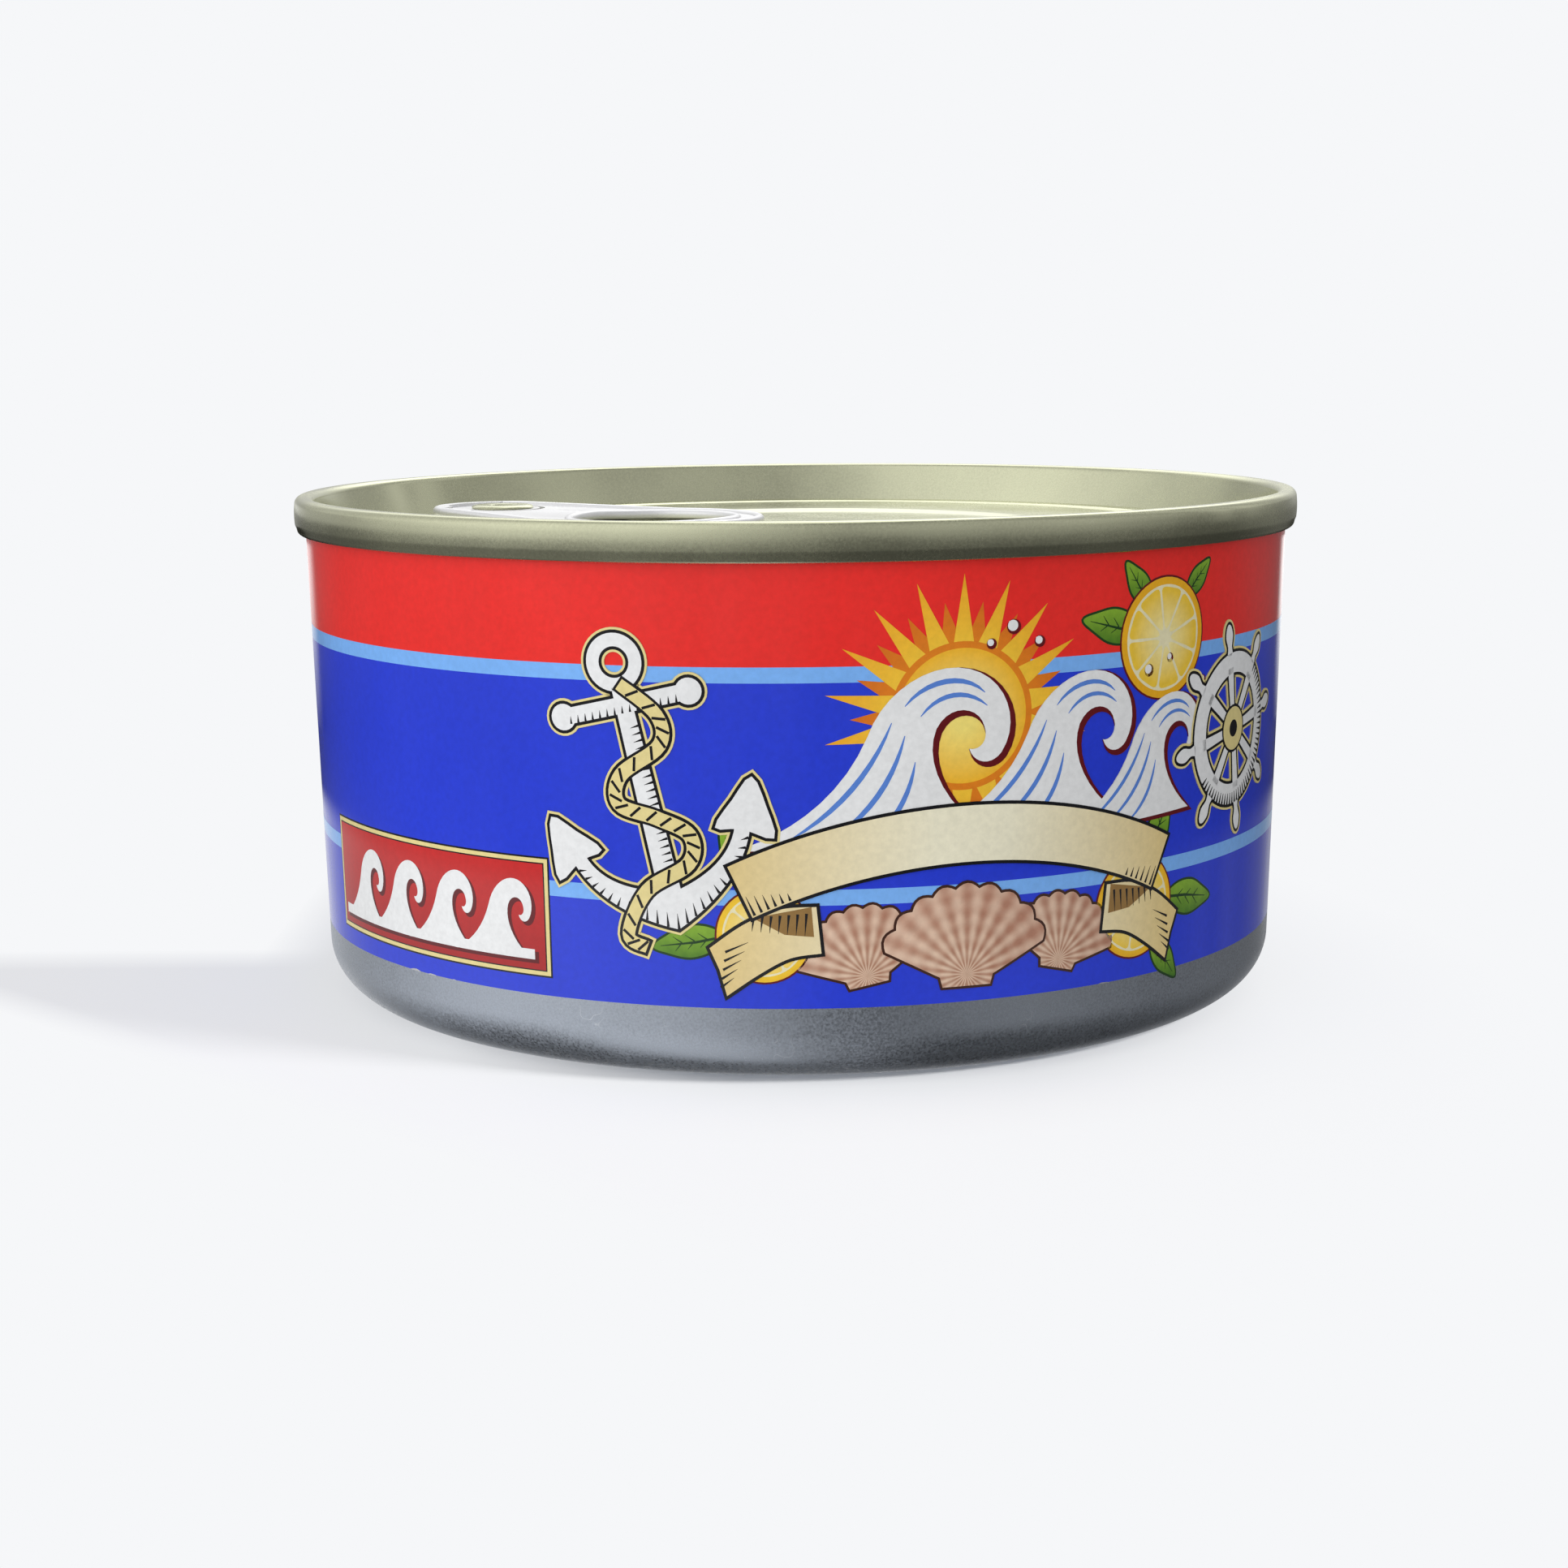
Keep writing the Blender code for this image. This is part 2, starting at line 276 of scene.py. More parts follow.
def metal_sheet(name, colour, rubbed, roughness, grain_share, rubs, bump=0.12, coat=0.0):
    material, tree, shader = new_material(name)
    worked = add_node(tree, "ShaderNodeGroup", (-500, 0), node_tree=WORKED_METAL)
    worked.inputs["Color"].default_value = (*colour, 1.0)
    worked.inputs["Rubbed Color"].default_value = (*rubbed, 1.0)
    worked.inputs["Roughness"].default_value = roughness
    worked.inputs["Grain"].default_value = grain_share
    worked.inputs["Rubs"].default_value = rubs
    bumps = add_node(tree, "ShaderNodeBump", (-220, -260))
    bumps.inputs["Strength"].default_value = bump
    bumps.inputs["Distance"].default_value = 0.00002
    tree.links.new(worked.outputs["Height"], bumps.inputs["Height"])
    tree.links.new(worked.outputs["Color"], shader.inputs["Base Color"])
    tree.links.new(worked.outputs["Roughness"], shader.inputs["Roughness"])
    tree.links.new(bumps.outputs["Normal"], shader.inputs["Normal"])
    shader.inputs["Metallic"].default_value = 1.0
    shader.inputs["Coat Weight"].default_value = coat
    shader.inputs["Coat Roughness"].default_value = 0.12
    return material


def scuffed_foot():
    """The bare steel of the foot, frosted with small rubs where it slides on shelves."""
    steel = metal_sheet("bare_steel", (0.48, 0.525, 0.60), (0.74, 0.78, 0.84), 0.36, 0.9, 0.8, bump=0.3)
    tree = steel.node_tree
    shader = tree.nodes["Principled BSDF"]
    worked = tree.nodes["Group"]
    place = add_node(tree, "ShaderNodeTexCoord").outputs["Object"]
    height = add_node(tree, "ShaderNodeSeparateXYZ")
    tree.links.new(place, height.inputs[0])
    low = spread_over(tree, height.outputs["Z"], 0.2 * MM, 1.7 * MM, 1.0, 0.0)
    rubs = spread_over(tree, grain(tree, place, 2300.0, 4.0, 0.7, (1.0, 1.0, 0.5)), 0.50, 0.66)
    rubs = maths(tree, "MULTIPLY", rubs, low)
    frosted = blend_colours(tree, rubs, worked.outputs["Color"], (0.88, 0.90, 0.93, 1.0))
    tree.links.new(frosted, shader.inputs["Base Color"])
    rough = maths(tree, "MULTIPLY_ADD", rubs, 0.25, worked.outputs["Roughness"])
    tree.links.new(rough, shader.inputs["Roughness"])
    return steel


cup = turn_up("cup", cup_outline())
cup.data.materials.append(scuffed_foot())
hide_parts("can_body")
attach(cup, "root")

# The print is inks under a clear lacquer, rolled onto the flat sheet before the cup is drawn. Each
# colour is a skin of its own, cut out flat and laid on the wall's flats. The same picture comes twice,
# at the front and half a turn round.
PRINT_RADIUS = 42.3
HALF_TURN = math.pi * PRINT_RADIUS
FLAT_ANGLE = 2.0 * math.pi / WALL_FLATS
FLAT_WIDTH = FLAT_ANGLE * PRINT_RADIUS
LAYER = 0.008
SKIN = 0.05
PRINT_BOTTOM = 6.24


def on_wall(along, height, lift):
    """The place on the wall, in metres, of a point in millimetres along the print and up it."""
    angle = along / PRINT_RADIUS
    from_middle = angle % FLAT_ANGLE - FLAT_ANGLE / 2
    radius = wall_radius(height) * math.cos(FLAT_ANGLE / 2) / math.cos(from_middle) + lift
    return Vector((radius * math.sin(angle), -radius * math.cos(angle), height)) * MM


def wall_normal(place):
    return Vector((place.x, place.y, -wall_lean * math.hypot(place.x, place.y))).normalized()


def anticlockwise(loop):
    turned = sum(a[0] * b[1] - b[0] * a[1] for a, b in zip(loop, loop[1:] + loop[:1]))
    return loop if turned > 0 else loop[::-1]


def cut_and_fill(loops, holes):
    """Flat triangles inside the loops and outside the holes, with an edge at every flat of the wall."""
    points, edges, faces = [], [], []
    for loop in loops + holes:
        first = len(points)
        points += [Vector(point) for point in anticlockwise(loop)]
        faces.append(list(range(first, len(points))))
    low = min(point.y for point in points) - 1.0
    high = max(point.y for point in points) + 1.0
    first_cut = math.ceil(min(point.x for point in points) / FLAT_WIDTH)
    last_cut = math.floor(max(point.x for point in points) / FLAT_WIDTH)
    for cut in range(first_cut, last_cut + 1):
        points += [Vector((cut * FLAT_WIDTH, low)), Vector((cut * FLAT_WIDTH, high))]
        edges.append((len(points) - 2, len(points) - 1))
    flat, _, triangles, _, _, sources = delaunay_2d_cdt(points, edges, faces, 0, 0.00001)
    shape_of = range(len(loops))
    kept = [
        triangle
        for triangle, source in zip(triangles, sources)
        if source and all(face in shape_of for face in source)
    ]
    return flat, kept


def lay_on_wall(name, loops, ink, layer, rings=(), centres=()):
    """Makes one colour of the print as a thin closed skin on the wall, at the front and at the back."""
    parts = [cut_and_fill([list(loop) for loop in loops], [])] if loops else []
    parts += [cut_and_fill([list(outside)], [list(inside)]) for outside, inside in rings]
    flat, triangles = [], []
    for points, found in parts:
        triangles += [[corner + len(flat) for corner in triangle] for triangle in found]
        flat += points
    used = sorted({corner for triangle in triangles for corner in triangle})
    number = {corner: i for i, corner in enumerate(used)}
    places = [
        on_wall(flat[corner].x + turn, flat[corner].y, layer * LAYER) for turn in (0.0, HALF_TURN) for corner in used
    ]
    faces = [
        [number[corner] + copy * len(used) for corner in triangle] for copy in (0, 1) for triangle in triangles
    ]
    mesh = bpy.data.meshes.new(name)
    mesh.from_pydata(places, [], faces)
    print_map = mesh.uv_layers.new(name="print")
    middles = [Vector(centre) for centre in centres] or [Vector((0.0, 0.0))]
    for face, triangle in zip(mesh.polygons, triangles + triangles):
        middle = sum((flat[corner] for corner in triangle), Vector((0.0, 0.0))) / 3
        nearest = min(middles, key=lambda centre: (centre - middle).length)
        for corner, point in zip(face.loop_indices, triangle):
            print_map.data[corner].uv = flat[point] - nearest
    mesh.materials.append(ink)
    piece = bpy.data.objects.new(name, mesh)
    bpy.context.scene.collection.objects.link(piece)
    finish_skin(piece, layer * LAYER + 0.02)
    return piece


def finish_skin(piece, thickness):
    """Gives a skin its thickness, the wall's own smooth shading and its place on the can."""
    bpy.context.view_layer.objects.active = piece
    shell = piece.modifiers.new("Skin", "SOLIDIFY")
    shell.thickness = thickness * MM
    shell.offset = -1.0
    bpy.ops.object.modifier_apply(modifier=shell.name)
    mesh = piece.data
    mesh.shade_smooth()
    mesh.normals_split_custom_set_from_vertices([wall_normal(vertex.co) for vertex in mesh.vertices])
    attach(piece, "root")


def lacquered_print_group():
    """Ink on steel under lacquer: a faint mottle in the colour, smeary gloss and a slight orange peel."""
    group, given, taken = effect_group(
        "lacquered_print",
        [("Color", "NodeSocketColor", (0.5, 0.5, 0.5, 1.0)), ("Roughness", "NodeSocketFloat", 0.3)],
        [
            ("Color", "NodeSocketColor"),
            ("Roughness", "NodeSocketFloat"),
            ("Height", "NodeSocketFloat"),
        ],
    )
    place = add_node(group, "ShaderNodeTexCoord").outputs["Object"]
    mottle = grain(group, place, 1900.0, 2.0, 0.6)
    clouds = grain(group, place, 70.0, 2.0, 0.5)
    smears = grain(group, place, 260.0, 3.0, 0.6, (1.0, 1.0, 0.25))
    peel = grain(group, place, 650.0, 1.0, 0.4)
    lightness = maths(group, "ADD", spread_over(group, mottle, 0.3, 0.7, -0.05, 0.05), 1.0)
    lightness = maths(group, "MULTIPLY", lightness, spread_over(group, clouds, 0.3, 0.7, 0.96, 1.04))
    tinted = add_node(group, "ShaderNodeVectorMath", operation="SCALE")
    feed(group, tinted.inputs[0], given.outputs["Color"])
    feed(group, tinted.inputs["Scale"], lightness)
    smear_swing = maths(group, "SUBTRACT", smears, 0.5)
    rough = maths(group, "MULTIPLY_ADD", smear_swing, 0.16, given.outputs["Roughness"])
    group.links.new(tinted.outputs[0], taken.inputs["Color"])
    group.links.new(rough, taken.inputs["Roughness"])
    group.links.new(peel, taken.inputs["Height"])
    return group


LACQUERED_PRINT = lacquered_print_group()


def printed(name, colour, roughness=0.17):
    """An ink. Its colour is plain, or comes from a function that adds its nodes to the material."""
    material, tree, shader = new_material(name)
    lacquer = add_node(tree, "ShaderNodeGroup", (-500, 0), node_tree=LACQUERED_PRINT)
    source = colour(tree) if callable(colour) else (*colour, 1.0)
    feed(tree, lacquer.inputs["Color"], source)
    lacquer.inputs["Roughness"].default_value = roughness
    bumps = add_node(tree, "ShaderNodeBump", (-220, -260))
    bumps.inputs["Strength"].default_value = 0.05
    bumps.inputs["Distance"].default_value = 0.00002
    tree.links.new(lacquer.outputs["Height"], bumps.inputs["Height"])
    tree.links.new(lacquer.outputs["Color"], shader.inputs["Base Color"])
    tree.links.new(lacquer.outputs["Roughness"], shader.inputs["Roughness"])
    tree.links.new(bumps.outputs["Normal"], shader.inputs["Normal"])
    shader.inputs["IOR"].default_value = 1.5
    return material


def ring_on_wall(name, bottom, top, ink, layer):
    """A band of print that goes right round the can."""
    lift = layer * LAYER
    outer = [(wall_radius(bottom) + lift, bottom), (wall_radius(top) + lift, top)]
    inner = [(radius - SKIN, height) for radius, height in reversed(outer)]
    band = turn_up(name, [*outer, *inner, outer[0]])
    band.data.materials.append(ink)
    mesh = band.data
    mesh.shade_smooth()
    mesh.normals_split_custom_set_from_vertices([wall_normal(vertex.co) for vertex in mesh.vertices])
    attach(band, "root")
    return band


BLUE = printed("blue_ink", (0.018, 0.046, 0.67))
RED = printed("red_ink", (0.86, 0.024, 0.019))
LIGHT_BLUE = printed("light_blue_ink", (0.20, 0.46, 0.95))
UPPER_STRIPE = (30.98, 32.17)
LOWER_STRIPE = (14.19, 15.39)
ring_on_wall("print_blue_field", PRINT_BOTTOM, UPPER_STRIPE[0] + 0.2, BLUE, 1)
ring_on_wall("print_red_band", UPPER_STRIPE[1] - 0.2, seam_bottom + 0.1, RED, 1)
ring_on_wall("print_upper_stripe", *UPPER_STRIPE, LIGHT_BLUE, 2)
ring_on_wall("print_lower_stripe", *LOWER_STRIPE, LIGHT_BLUE, 2)
CHIPPED = metal_sheet("chipped_steel", (0.80, 0.81, 0.84), (0.9, 0.9, 0.92), 0.5, 0.6, 0.0)
chips = [
    [(-35.6, 6.20), (-35.2, 6.33), (-34.7, 6.37), (-34.3, 6.30), (-34.0, 6.20)],
    [(-33.2, 6.20), (-32.8, 6.30), (-32.3, 6.28), (-31.9, 6.20)],
    [(-30.2, 6.20), (-29.9, 6.28), (-29.6, 6.20)],
    [(-23.55, 8.05), (-23.4, 8.22), (-23.2, 8.12), (-23.35, 7.98)],
    [(24.8, 6.20), (25.2, 6.30), (25.8, 6.27), (26.1, 6.20)],
]
lay_on_wall("print_chips", chips, CHIPPED, 2.5)

# The sun stands half behind the waves. Its disc and long rays are yellow over orange short rays,
# each shaded from the middle outwards as a screened print is.
def smooth(points, closed=True, pieces=6):
    """A curve that passes through all the points, as a list of points."""
    count = len(points)
    spans = count if closed else count - 1
    path = []
    for i in range(spans):
        if closed:
            before, start, end, after = (Vector(points[(i + k) % count]) for k in (-1, 0, 1, 2))
        else:
            before, start, end, after = (Vector(points[min(max(i + k, 0), count - 1)]) for k in (-1, 0, 1, 2))
        for step in range(pieces):
            t = step / pieces
            path.append(
                0.5 * (2 * start + (end - before) * t + (2 * before - 5 * start + 4 * end - after) * t**2
                       + (3 * start - before - 3 * end + after) * t**3)
            )
    return path if closed else path + [Vector(points[-1])]


def stroke(path, width, start=0.15, end=0.15, closed=False):
    """The outline of a pen stroke along a path. Start and end are the shares of the width there."""
    path = [Vector(point) for point in path]
    left, right = [], []
    for i, point in enumerate(path):
        along = (path[min(i + 1, len(path) - 1)] - path[max(i - 1, 0)]).normalized()
        share = i / (len(path) - 1)
        swell = math.sin(math.pi * share) ** 0.7 if 0 < share < 1 else 0.0
        floor_share = start + (end - start) * share
        half = 0.5 * width * (floor_share + (1.0 - floor_share) * swell)
        side = Vector((-along.y, along.x)) * half
        left.append(point + side)
        right.append(point - side)
    return left + right[::-1]


def grown(loop, by):
    """The loop moved outwards by a distance, or inwards when it is negative."""
    loop = anticlockwise([Vector(point) for point in loop])
    out = []
    for before, point, after in zip(loop[-1:] + loop[:-1], loop, loop[1:] + loop[:1]):
        first, second = (point - before), (after - point)
        if first.length < 1e-6 or second.length < 1e-6:
            continue
        first, second = first.normalized(), second.normalized()
        normals = Vector((first.y, -first.x)) + Vector((second.y, -second.x))
        if normals.length < 1e-6:
            continue
        normal = normals.normalized()
        stretch = min(1.0 / max(normal.dot(Vector((first.y, -first.x))), 0.4), 1.6)
        out.append(point + normal * by * stretch)
    return out


def moved(loop, centre, degrees=0.0, size=1.0, flip=False):
    turn = math.radians(degrees)
    c, s = math.cos(turn) * size, math.sin(turn) * size
    mirror = -1.0 if flip else 1.0
    return [
        Vector((centre[0] + point[0] * mirror * c - point[1] * s, centre[1] + point[0] * mirror * s + point[1] * c))
        for point in loop
    ]


def disc(centre, radius, pieces=48):
    return [Vector(point) for point in arc(centre, radius, 0, 360, pieces)[:-1]]


def box(low, high):
    return [Vector(point) for point in ((low[0], low[1]), (high[0], low[1]), (high[0], high[1]), (low[0], high[1]))]


WHITE = printed("white_ink", (0.84, 0.85, 0.86))
BLACK = printed("black_ink", (0.010, 0.010, 0.013))
CREAM = printed("cream_ink", (0.80, 0.68, 0.30))
DARK_RED = printed("dark_red_ink", (0.13, 0.006, 0.010))


def from_middle(tree, low, high):
    """How far a point of the print is from its motif's middle, 0 at low and 1 at high."""
    away = add_node(tree, "ShaderNodeVectorMath", operation="LENGTH")
    tree.links.new(add_node(tree, "ShaderNodeUVMap", uv_map="print").outputs[0], away.inputs[0])
    return spread_over(tree, away.outputs["Value"], low, high)


def shaded(inner, outer, low, high):
    return lambda tree: blend_colours(tree, from_middle(tree, low, high), (*inner, 1.0), (*outer, 1.0))


SUN = Vector((12.5, 28.2))


def ray(degrees, reach, width, root=5.0):
    return moved([(root, -width / 2), (reach, 0.0), (root, width / 2)], SUN, degrees)


long_rays = [ray(i * 20 + 10, 10.6, 1.75) for i in range(18)]
short_rays = [ray(i * 20, 8.6, 1.9) for i in range(18)]
YELLOW = printed("sun_yellow_ink", shaded((0.93, 0.62, 0.05), (0.90, 0.40, 0.015), 4.0, 10.5))
ORANGE = printed("sun_orange_ink", shaded((0.80, 0.25, 0.012), (0.72, 0.16, 0.010), 4.0, 8.6))
GLOW = printed("sun_disc_ink", shaded((0.95, 0.78, 0.20), (0.92, 0.50, 0.03), 1.0, 5.0))
lay_on_wall("print_sun_short_rays", short_rays, ORANGE, 3, centres=[SUN])
lay_on_wall("print_sun_long_rays", long_rays, YELLOW, 4, centres=[SUN])
lay_on_wall("print_sun_rim", [disc(SUN, 5.6, 72)], ORANGE, 5, centres=[SUN])
lay_on_wall("print_sun_disc", [disc(SUN, 5.1, 72)], GLOW, 6, centres=[SUN])

# Leaves and slices of lemon fill the corners of the picture. The leaves are two greens with veins.
# A slice has its peel, white pith and nine wedges.
LEAF = smooth([
    (0.0, 0.0), (1.3, 1.05), (3.2, 1.35), (5.0, 0.75), (6.3, 0.0), (5.0, -0.75), (3.2, -1.35), (1.3, -1.05),
])


def leaf_green(tree):
    parts = add_node(tree, "ShaderNodeSeparateXYZ")
    tree.links.new(add_node(tree, "ShaderNodeUVMap", uv_map="print").outputs[0], parts.inputs[0])
    grains = grain(tree, add_node(tree, "ShaderNodeUVMap", uv_map="print").outputs[0], 0.9, 2.0, 0.5)
    share = spread_over(tree, maths(tree, "ADD", parts.outputs["Y"], maths(tree, "MULTIPLY", grains, 2.0)), -1.0, 3.0)
    return blend_colours(tree, share, (0.035, 0.15, 0.012, 1.0), (0.28, 0.50, 0.035, 1.0))


LEAF_GREEN = printed("leaf_green_ink", leaf_green)
DARK_GREEN = printed("dark_green_ink", (0.012, 0.055, 0.010))
leaf_places = [
    ((29.6, 15.2), 62, 0.9), ((32.2, 12.2), -8, 1.0), ((30.6, 9.0), -48, 0.75),
    ((-3.2, 15.2), 118, 0.85), ((-5.6, 11.8), 190, 0.9), ((28.4, 33.6), 168, 0.95),
    ((29.4, 35.4), 128, 0.72), ((33.6, 36.0), 42, 0.62), ((3.4, 17.2), 160, 0.6), ((19.6, 17.6), 20, 0.6),
]
leaves, veins = [], []
for place, turn, size in leaf_places:
    leaves.append(moved(LEAF, place, turn, size))
    veins.append(moved(stroke([(0.1, 0.0), (2.5, 0.12), (5.6, 0.0)], 0.22, 1.0, 0.2), place, turn, size))
    for along in (1.5, 2.6, 3.7):
        for side in (-1, 1):
            branch = stroke([(along, 0.0), (along + 0.7, side * 0.62)], 0.12, 1.0, 0.3)
            veins.append(moved(branch, place, turn, size))
leaf_middles = [moved([(3.2, 0.0)], place, turn, size)[0] for place, turn, size in leaf_places]
lay_on_wall("print_leaf_edges", [grown(leaf, 0.18) for leaf in leaves], DARK_GREEN, 3)
lay_on_wall("print_leaves", leaves, LEAF_GREEN, 4, centres=leaf_middles)
lay_on_wall("print_leaf_veins", veins, DARK_GREEN, 5)

lemon_places = [((28.6, 12.0), 4.1), ((-2.6, 11.9), 3.6), ((31.0, 32.9), 4.7)]
PEEL = printed("peel_ink", shaded((0.92, 0.62, 0.03), (0.86, 0.44, 0.012), 3.0, 4.2))
PITH = printed("pith_ink", (0.86, 0.80, 0.52))
FLESH = printed("flesh_ink", shaded((0.95, 0.86, 0.42), (0.90, 0.60, 0.05), 0.3, 3.6))
peels = [disc(place, radius) for place, radius in lemon_places]
piths = [disc(place, radius * 0.88) for place, radius in lemon_places]
WEDGE = smooth([(0.14, 0.0), (0.55, 0.17), (0.79, 0.235), (0.83, 0.0), (0.79, -0.235), (0.55, -0.17)], pieces=4)
wedges = [moved(WEDGE, place, i * 40, radius) for place, radius in lemon_places for i in range(9)]
lemon_middles = [Vector(place) for place, _ in lemon_places]
lay_on_wall("print_lemon_edges", [grown(peel, 0.15) for peel in peels], DARK_RED, 6)
lay_on_wall("print_lemon_peel", peels, PEEL, 7, centres=lemon_middles)
lay_on_wall("print_lemon_pith", piths, PITH, 8)
lay_on_wall("print_lemon_flesh", wedges, FLESH, 9, centres=lemon_middles)

# Three scallop shells in beige and pink lie under the ribbon, with ribs that fan out from the hinge.
def shell_outline(ribs=9, half_angle=72):
    edge = []
    for i in range(ribs * 6 + 1):
        share = i / (ribs * 6)
        angle = math.radians(90 + half_angle - 2 * half_angle * share)
        lobe = 0.94 + 0.06 * abs(math.sin(math.pi * ribs * share))
        edge.append(Vector((math.cos(angle), math.sin(angle) * 0.98)) * lobe)
    ears = [(0.30, -0.02), (0.27, -0.13), (-0.27, -0.13), (-0.30, -0.02)]
    return edge + [Vector(ear) for ear in ears]


def shell_pink(tree):
    place = add_node(tree, "ShaderNodeUVMap", uv_map="print").outputs[0]
    parts = add_node(tree, "ShaderNodeSeparateXYZ")
    tree.links.new(place, parts.inputs[0])
    angle = maths(tree, "ARCTAN2", parts.outputs["X"], parts.outputs["Y"])
    rib = maths(tree, "COSINE", maths(tree, "MULTIPLY", angle, 2 * math.pi * 9 / math.radians(144)))
    away = from_middle(tree, 0.0, 7.0)
    bands = maths(tree, "SINE", maths(tree, "MULTIPLY_ADD", away, 34.0, maths(tree, "MULTIPLY", rib, 0.5)))
    light = maths(tree, "MULTIPLY_ADD", rib, -0.30, 0.55)
    light = maths(tree, "MULTIPLY_ADD", bands, 0.10, light)
    light = maths(tree, "MULTIPLY_ADD", spread_over(tree, parts.outputs["X"], -5.0, 5.0), -0.25, light, clamp=True)
    light = maths(tree, "ADD", light, 0.1, clamp=True)
    body = blend_colours(tree, light, (0.36, 0.15, 0.085, 1.0), (0.80, 0.60, 0.45, 1.0))
    return blend_colours(tree, maths(tree, "MULTIPLY", away, 0.25), body, (0.62, 0.30, 0.22, 1.0))


SHELL = printed("shell_ink", shell_pink)
BROWN = printed("brown_ink", (0.055, 0.018, 0.010))
shell_places = [((5.2, 8.7), 12, 5.6), ((20.9, 8.8), -14, 5.4), ((13.0, 8.4), 0, 7.2)]
shells = [moved(shell_outline(), place, turn, size) for place, turn, size in shell_places]
shell_middles = [Vector(place) for place, _, _ in shell_places]
for number, (shell, middle) in enumerate(zip(shells, shell_middles), 1):
    lay_on_wall(f"print_shell_{number}_edge", [grown(shell, 0.2)], BROWN, 3 + 2 * number)
    lay_on_wall(f"print_shell_{number}", [shell], SHELL, 4 + 2 * number, centres=[middle])

# Three waves curl to the right in front of the sun, in white with a dark-red shadow and thin blue
# lines that follow the curl.
def bezier(*corners, pieces=10):
    """A chain of curves: a start point, then two handles and an end point for each curve."""
    path = [Vector(corners[0])]
    for i in range(1, len(corners), 3):
        start, first, second, end = path[-1], *(Vector(corner) for corner in corners[i:i + 3])
        for step in range(1, pieces + 1):
            t = step / pieces
            u = 1 - t
            path.append(start * u**3 + first * 3 * u * u * t + second * 3 * u * t * t + end * t**3)
    return path


WAVE = bezier(
    (-2.0, -2.0), (1.5, -1.0), (6.0, 1.5), (8.2, 6.6), (9.4, 10.0), (13.0, 12.2), (16.0, 11.4),
    (19.0, 10.6), (20.2, 7.2), (18.6, 5.0), (17.8, 4.0), (16.4, 4.2), (16.0, 5.4),
    (16.8, 5.2), (17.6, 5.9), (17.2, 7.0), (16.8, 8.6), (14.4, 9.0), (13.4, 7.0), (12.4, 4.6), (14.0, 0.8), (19.0, -2.0),
)[:-1]
WAVE_LINES = [
    stroke(bezier((2.5, -1.0), (6.0, 1.0), (8.6, 4.0), (10.0, 7.6)), 0.42),
    stroke(bezier((5.0, -1.4), (8.4, 0.6), (10.2, 3.4), (11.0, 6.6)), 0.42),
    stroke(bezier((7.8, -1.6), (10.2, -0.2), (11.4, 2.0), (11.8, 4.6)), 0.40),
    stroke(bezier((11.0, 8.8), (12.6, 10.8), (15.6, 11.2), (17.2, 9.6)), 0.40),
    stroke(bezier((12.2, 8.0), (13.6, 9.8), (15.8, 10.0), (17.4, 8.6)), 0.36),
]
wave_places = [((-3.0, 20.3), 1.0), ((10.6, 20.8), 0.88), ((21.6, 20.0), 0.74)]
waves = [moved(WAVE, place, 0, size) for place, size in wave_places]
wave_shadows = [moved(grown(wave, 0.22), (0.25, -0.22)) for wave in waves]
wave_lines = [moved(line, place, 0, size) for place, size in wave_places for line in WAVE_LINES]
drops = [
    (16.4, 34.8, 0.42), (18.6, 33.6, 0.30), (14.6, 33.6, 0.26),
    (29.2, 30.6, 0.36), (36.0, 29.2, 0.30), (31.6, 31.4, 0.24),
]
spray = [disc(place, radius, 20) for *place, radius in drops]
lay_on_wall("print_wave_shadows", wave_shadows + [grown(moved(drop, (0.1, -0.1)), 0.14) for drop in spray], DARK_RED, 9)
lay_on_wall("print_waves", waves + spray, WHITE, 10)
WAVE_BLUE = printed("wave_blue_ink", (0.10, 0.24, 0.70))
lay_on_wall("print_wave_lines", wave_lines, WAVE_BLUE, 11)

# The plaque on the left of each picture is a red panel in a cream frame with a dark keyline. Inside it
# runs a white scroll of small waves with a dark shadow. It is printed on top of the bands.
def plaque_red(tree):
    height = add_node(tree, "ShaderNodeSeparateXYZ")
    tree.links.new(add_node(tree, "ShaderNodeUVMap", uv_map="print").outputs[0], height.inputs[0])
    share = spread_over(tree, height.outputs["Y"], -4.0, 4.0)
    return blend_colours(tree, share, (0.40, 0.012, 0.014, 1.0), (0.58, 0.022, 0.022, 1.0))


PLAQUE_RED = printed("plaque_red_ink", plaque_red)
plaque_low, plaque_high = Vector((-47.9, 7.8)), Vector((-19.9, 17.0))
plaque_middle = (plaque_low + plaque_high) / 2
frame_width = 0.42
inner_low = plaque_low + Vector((frame_width, frame_width))
inner_high = plaque_high - Vector((frame_width, frame_width))
lay_on_wall("print_plaque_keyline", [grown(box(plaque_low, plaque_high), 0.14)], BLACK, 3)
lay_on_wall("print_plaque_frame", [box(plaque_low, plaque_high)], CREAM, 4)
lay_on_wall("print_plaque_field_edge", [grown(box(inner_low, inner_high), 0.1)], BLACK, 5)
lay_on_wall("print_plaque_field", [box(inner_low, inner_high)], PLAQUE_RED, 6, centres=[plaque_middle])


curl = [Vector((point.x * 0.90, point.y * 1.10)) for point in WAVE]
scroll = [moved(curl, (-46.3 + 5.85 * i, 9.9), 0, 0.42) for i in range(4)]
scroll.append(box((-46.9, 9.0), (-21.3, 9.8)))
shadow = [moved(grown(wave, 0.06), (0.3, -0.24)) for wave in scroll]
lay_on_wall("print_scroll_shadow", shadow, DARK_RED, 7)
lay_on_wall("print_scroll", scroll, WHITE, 8)

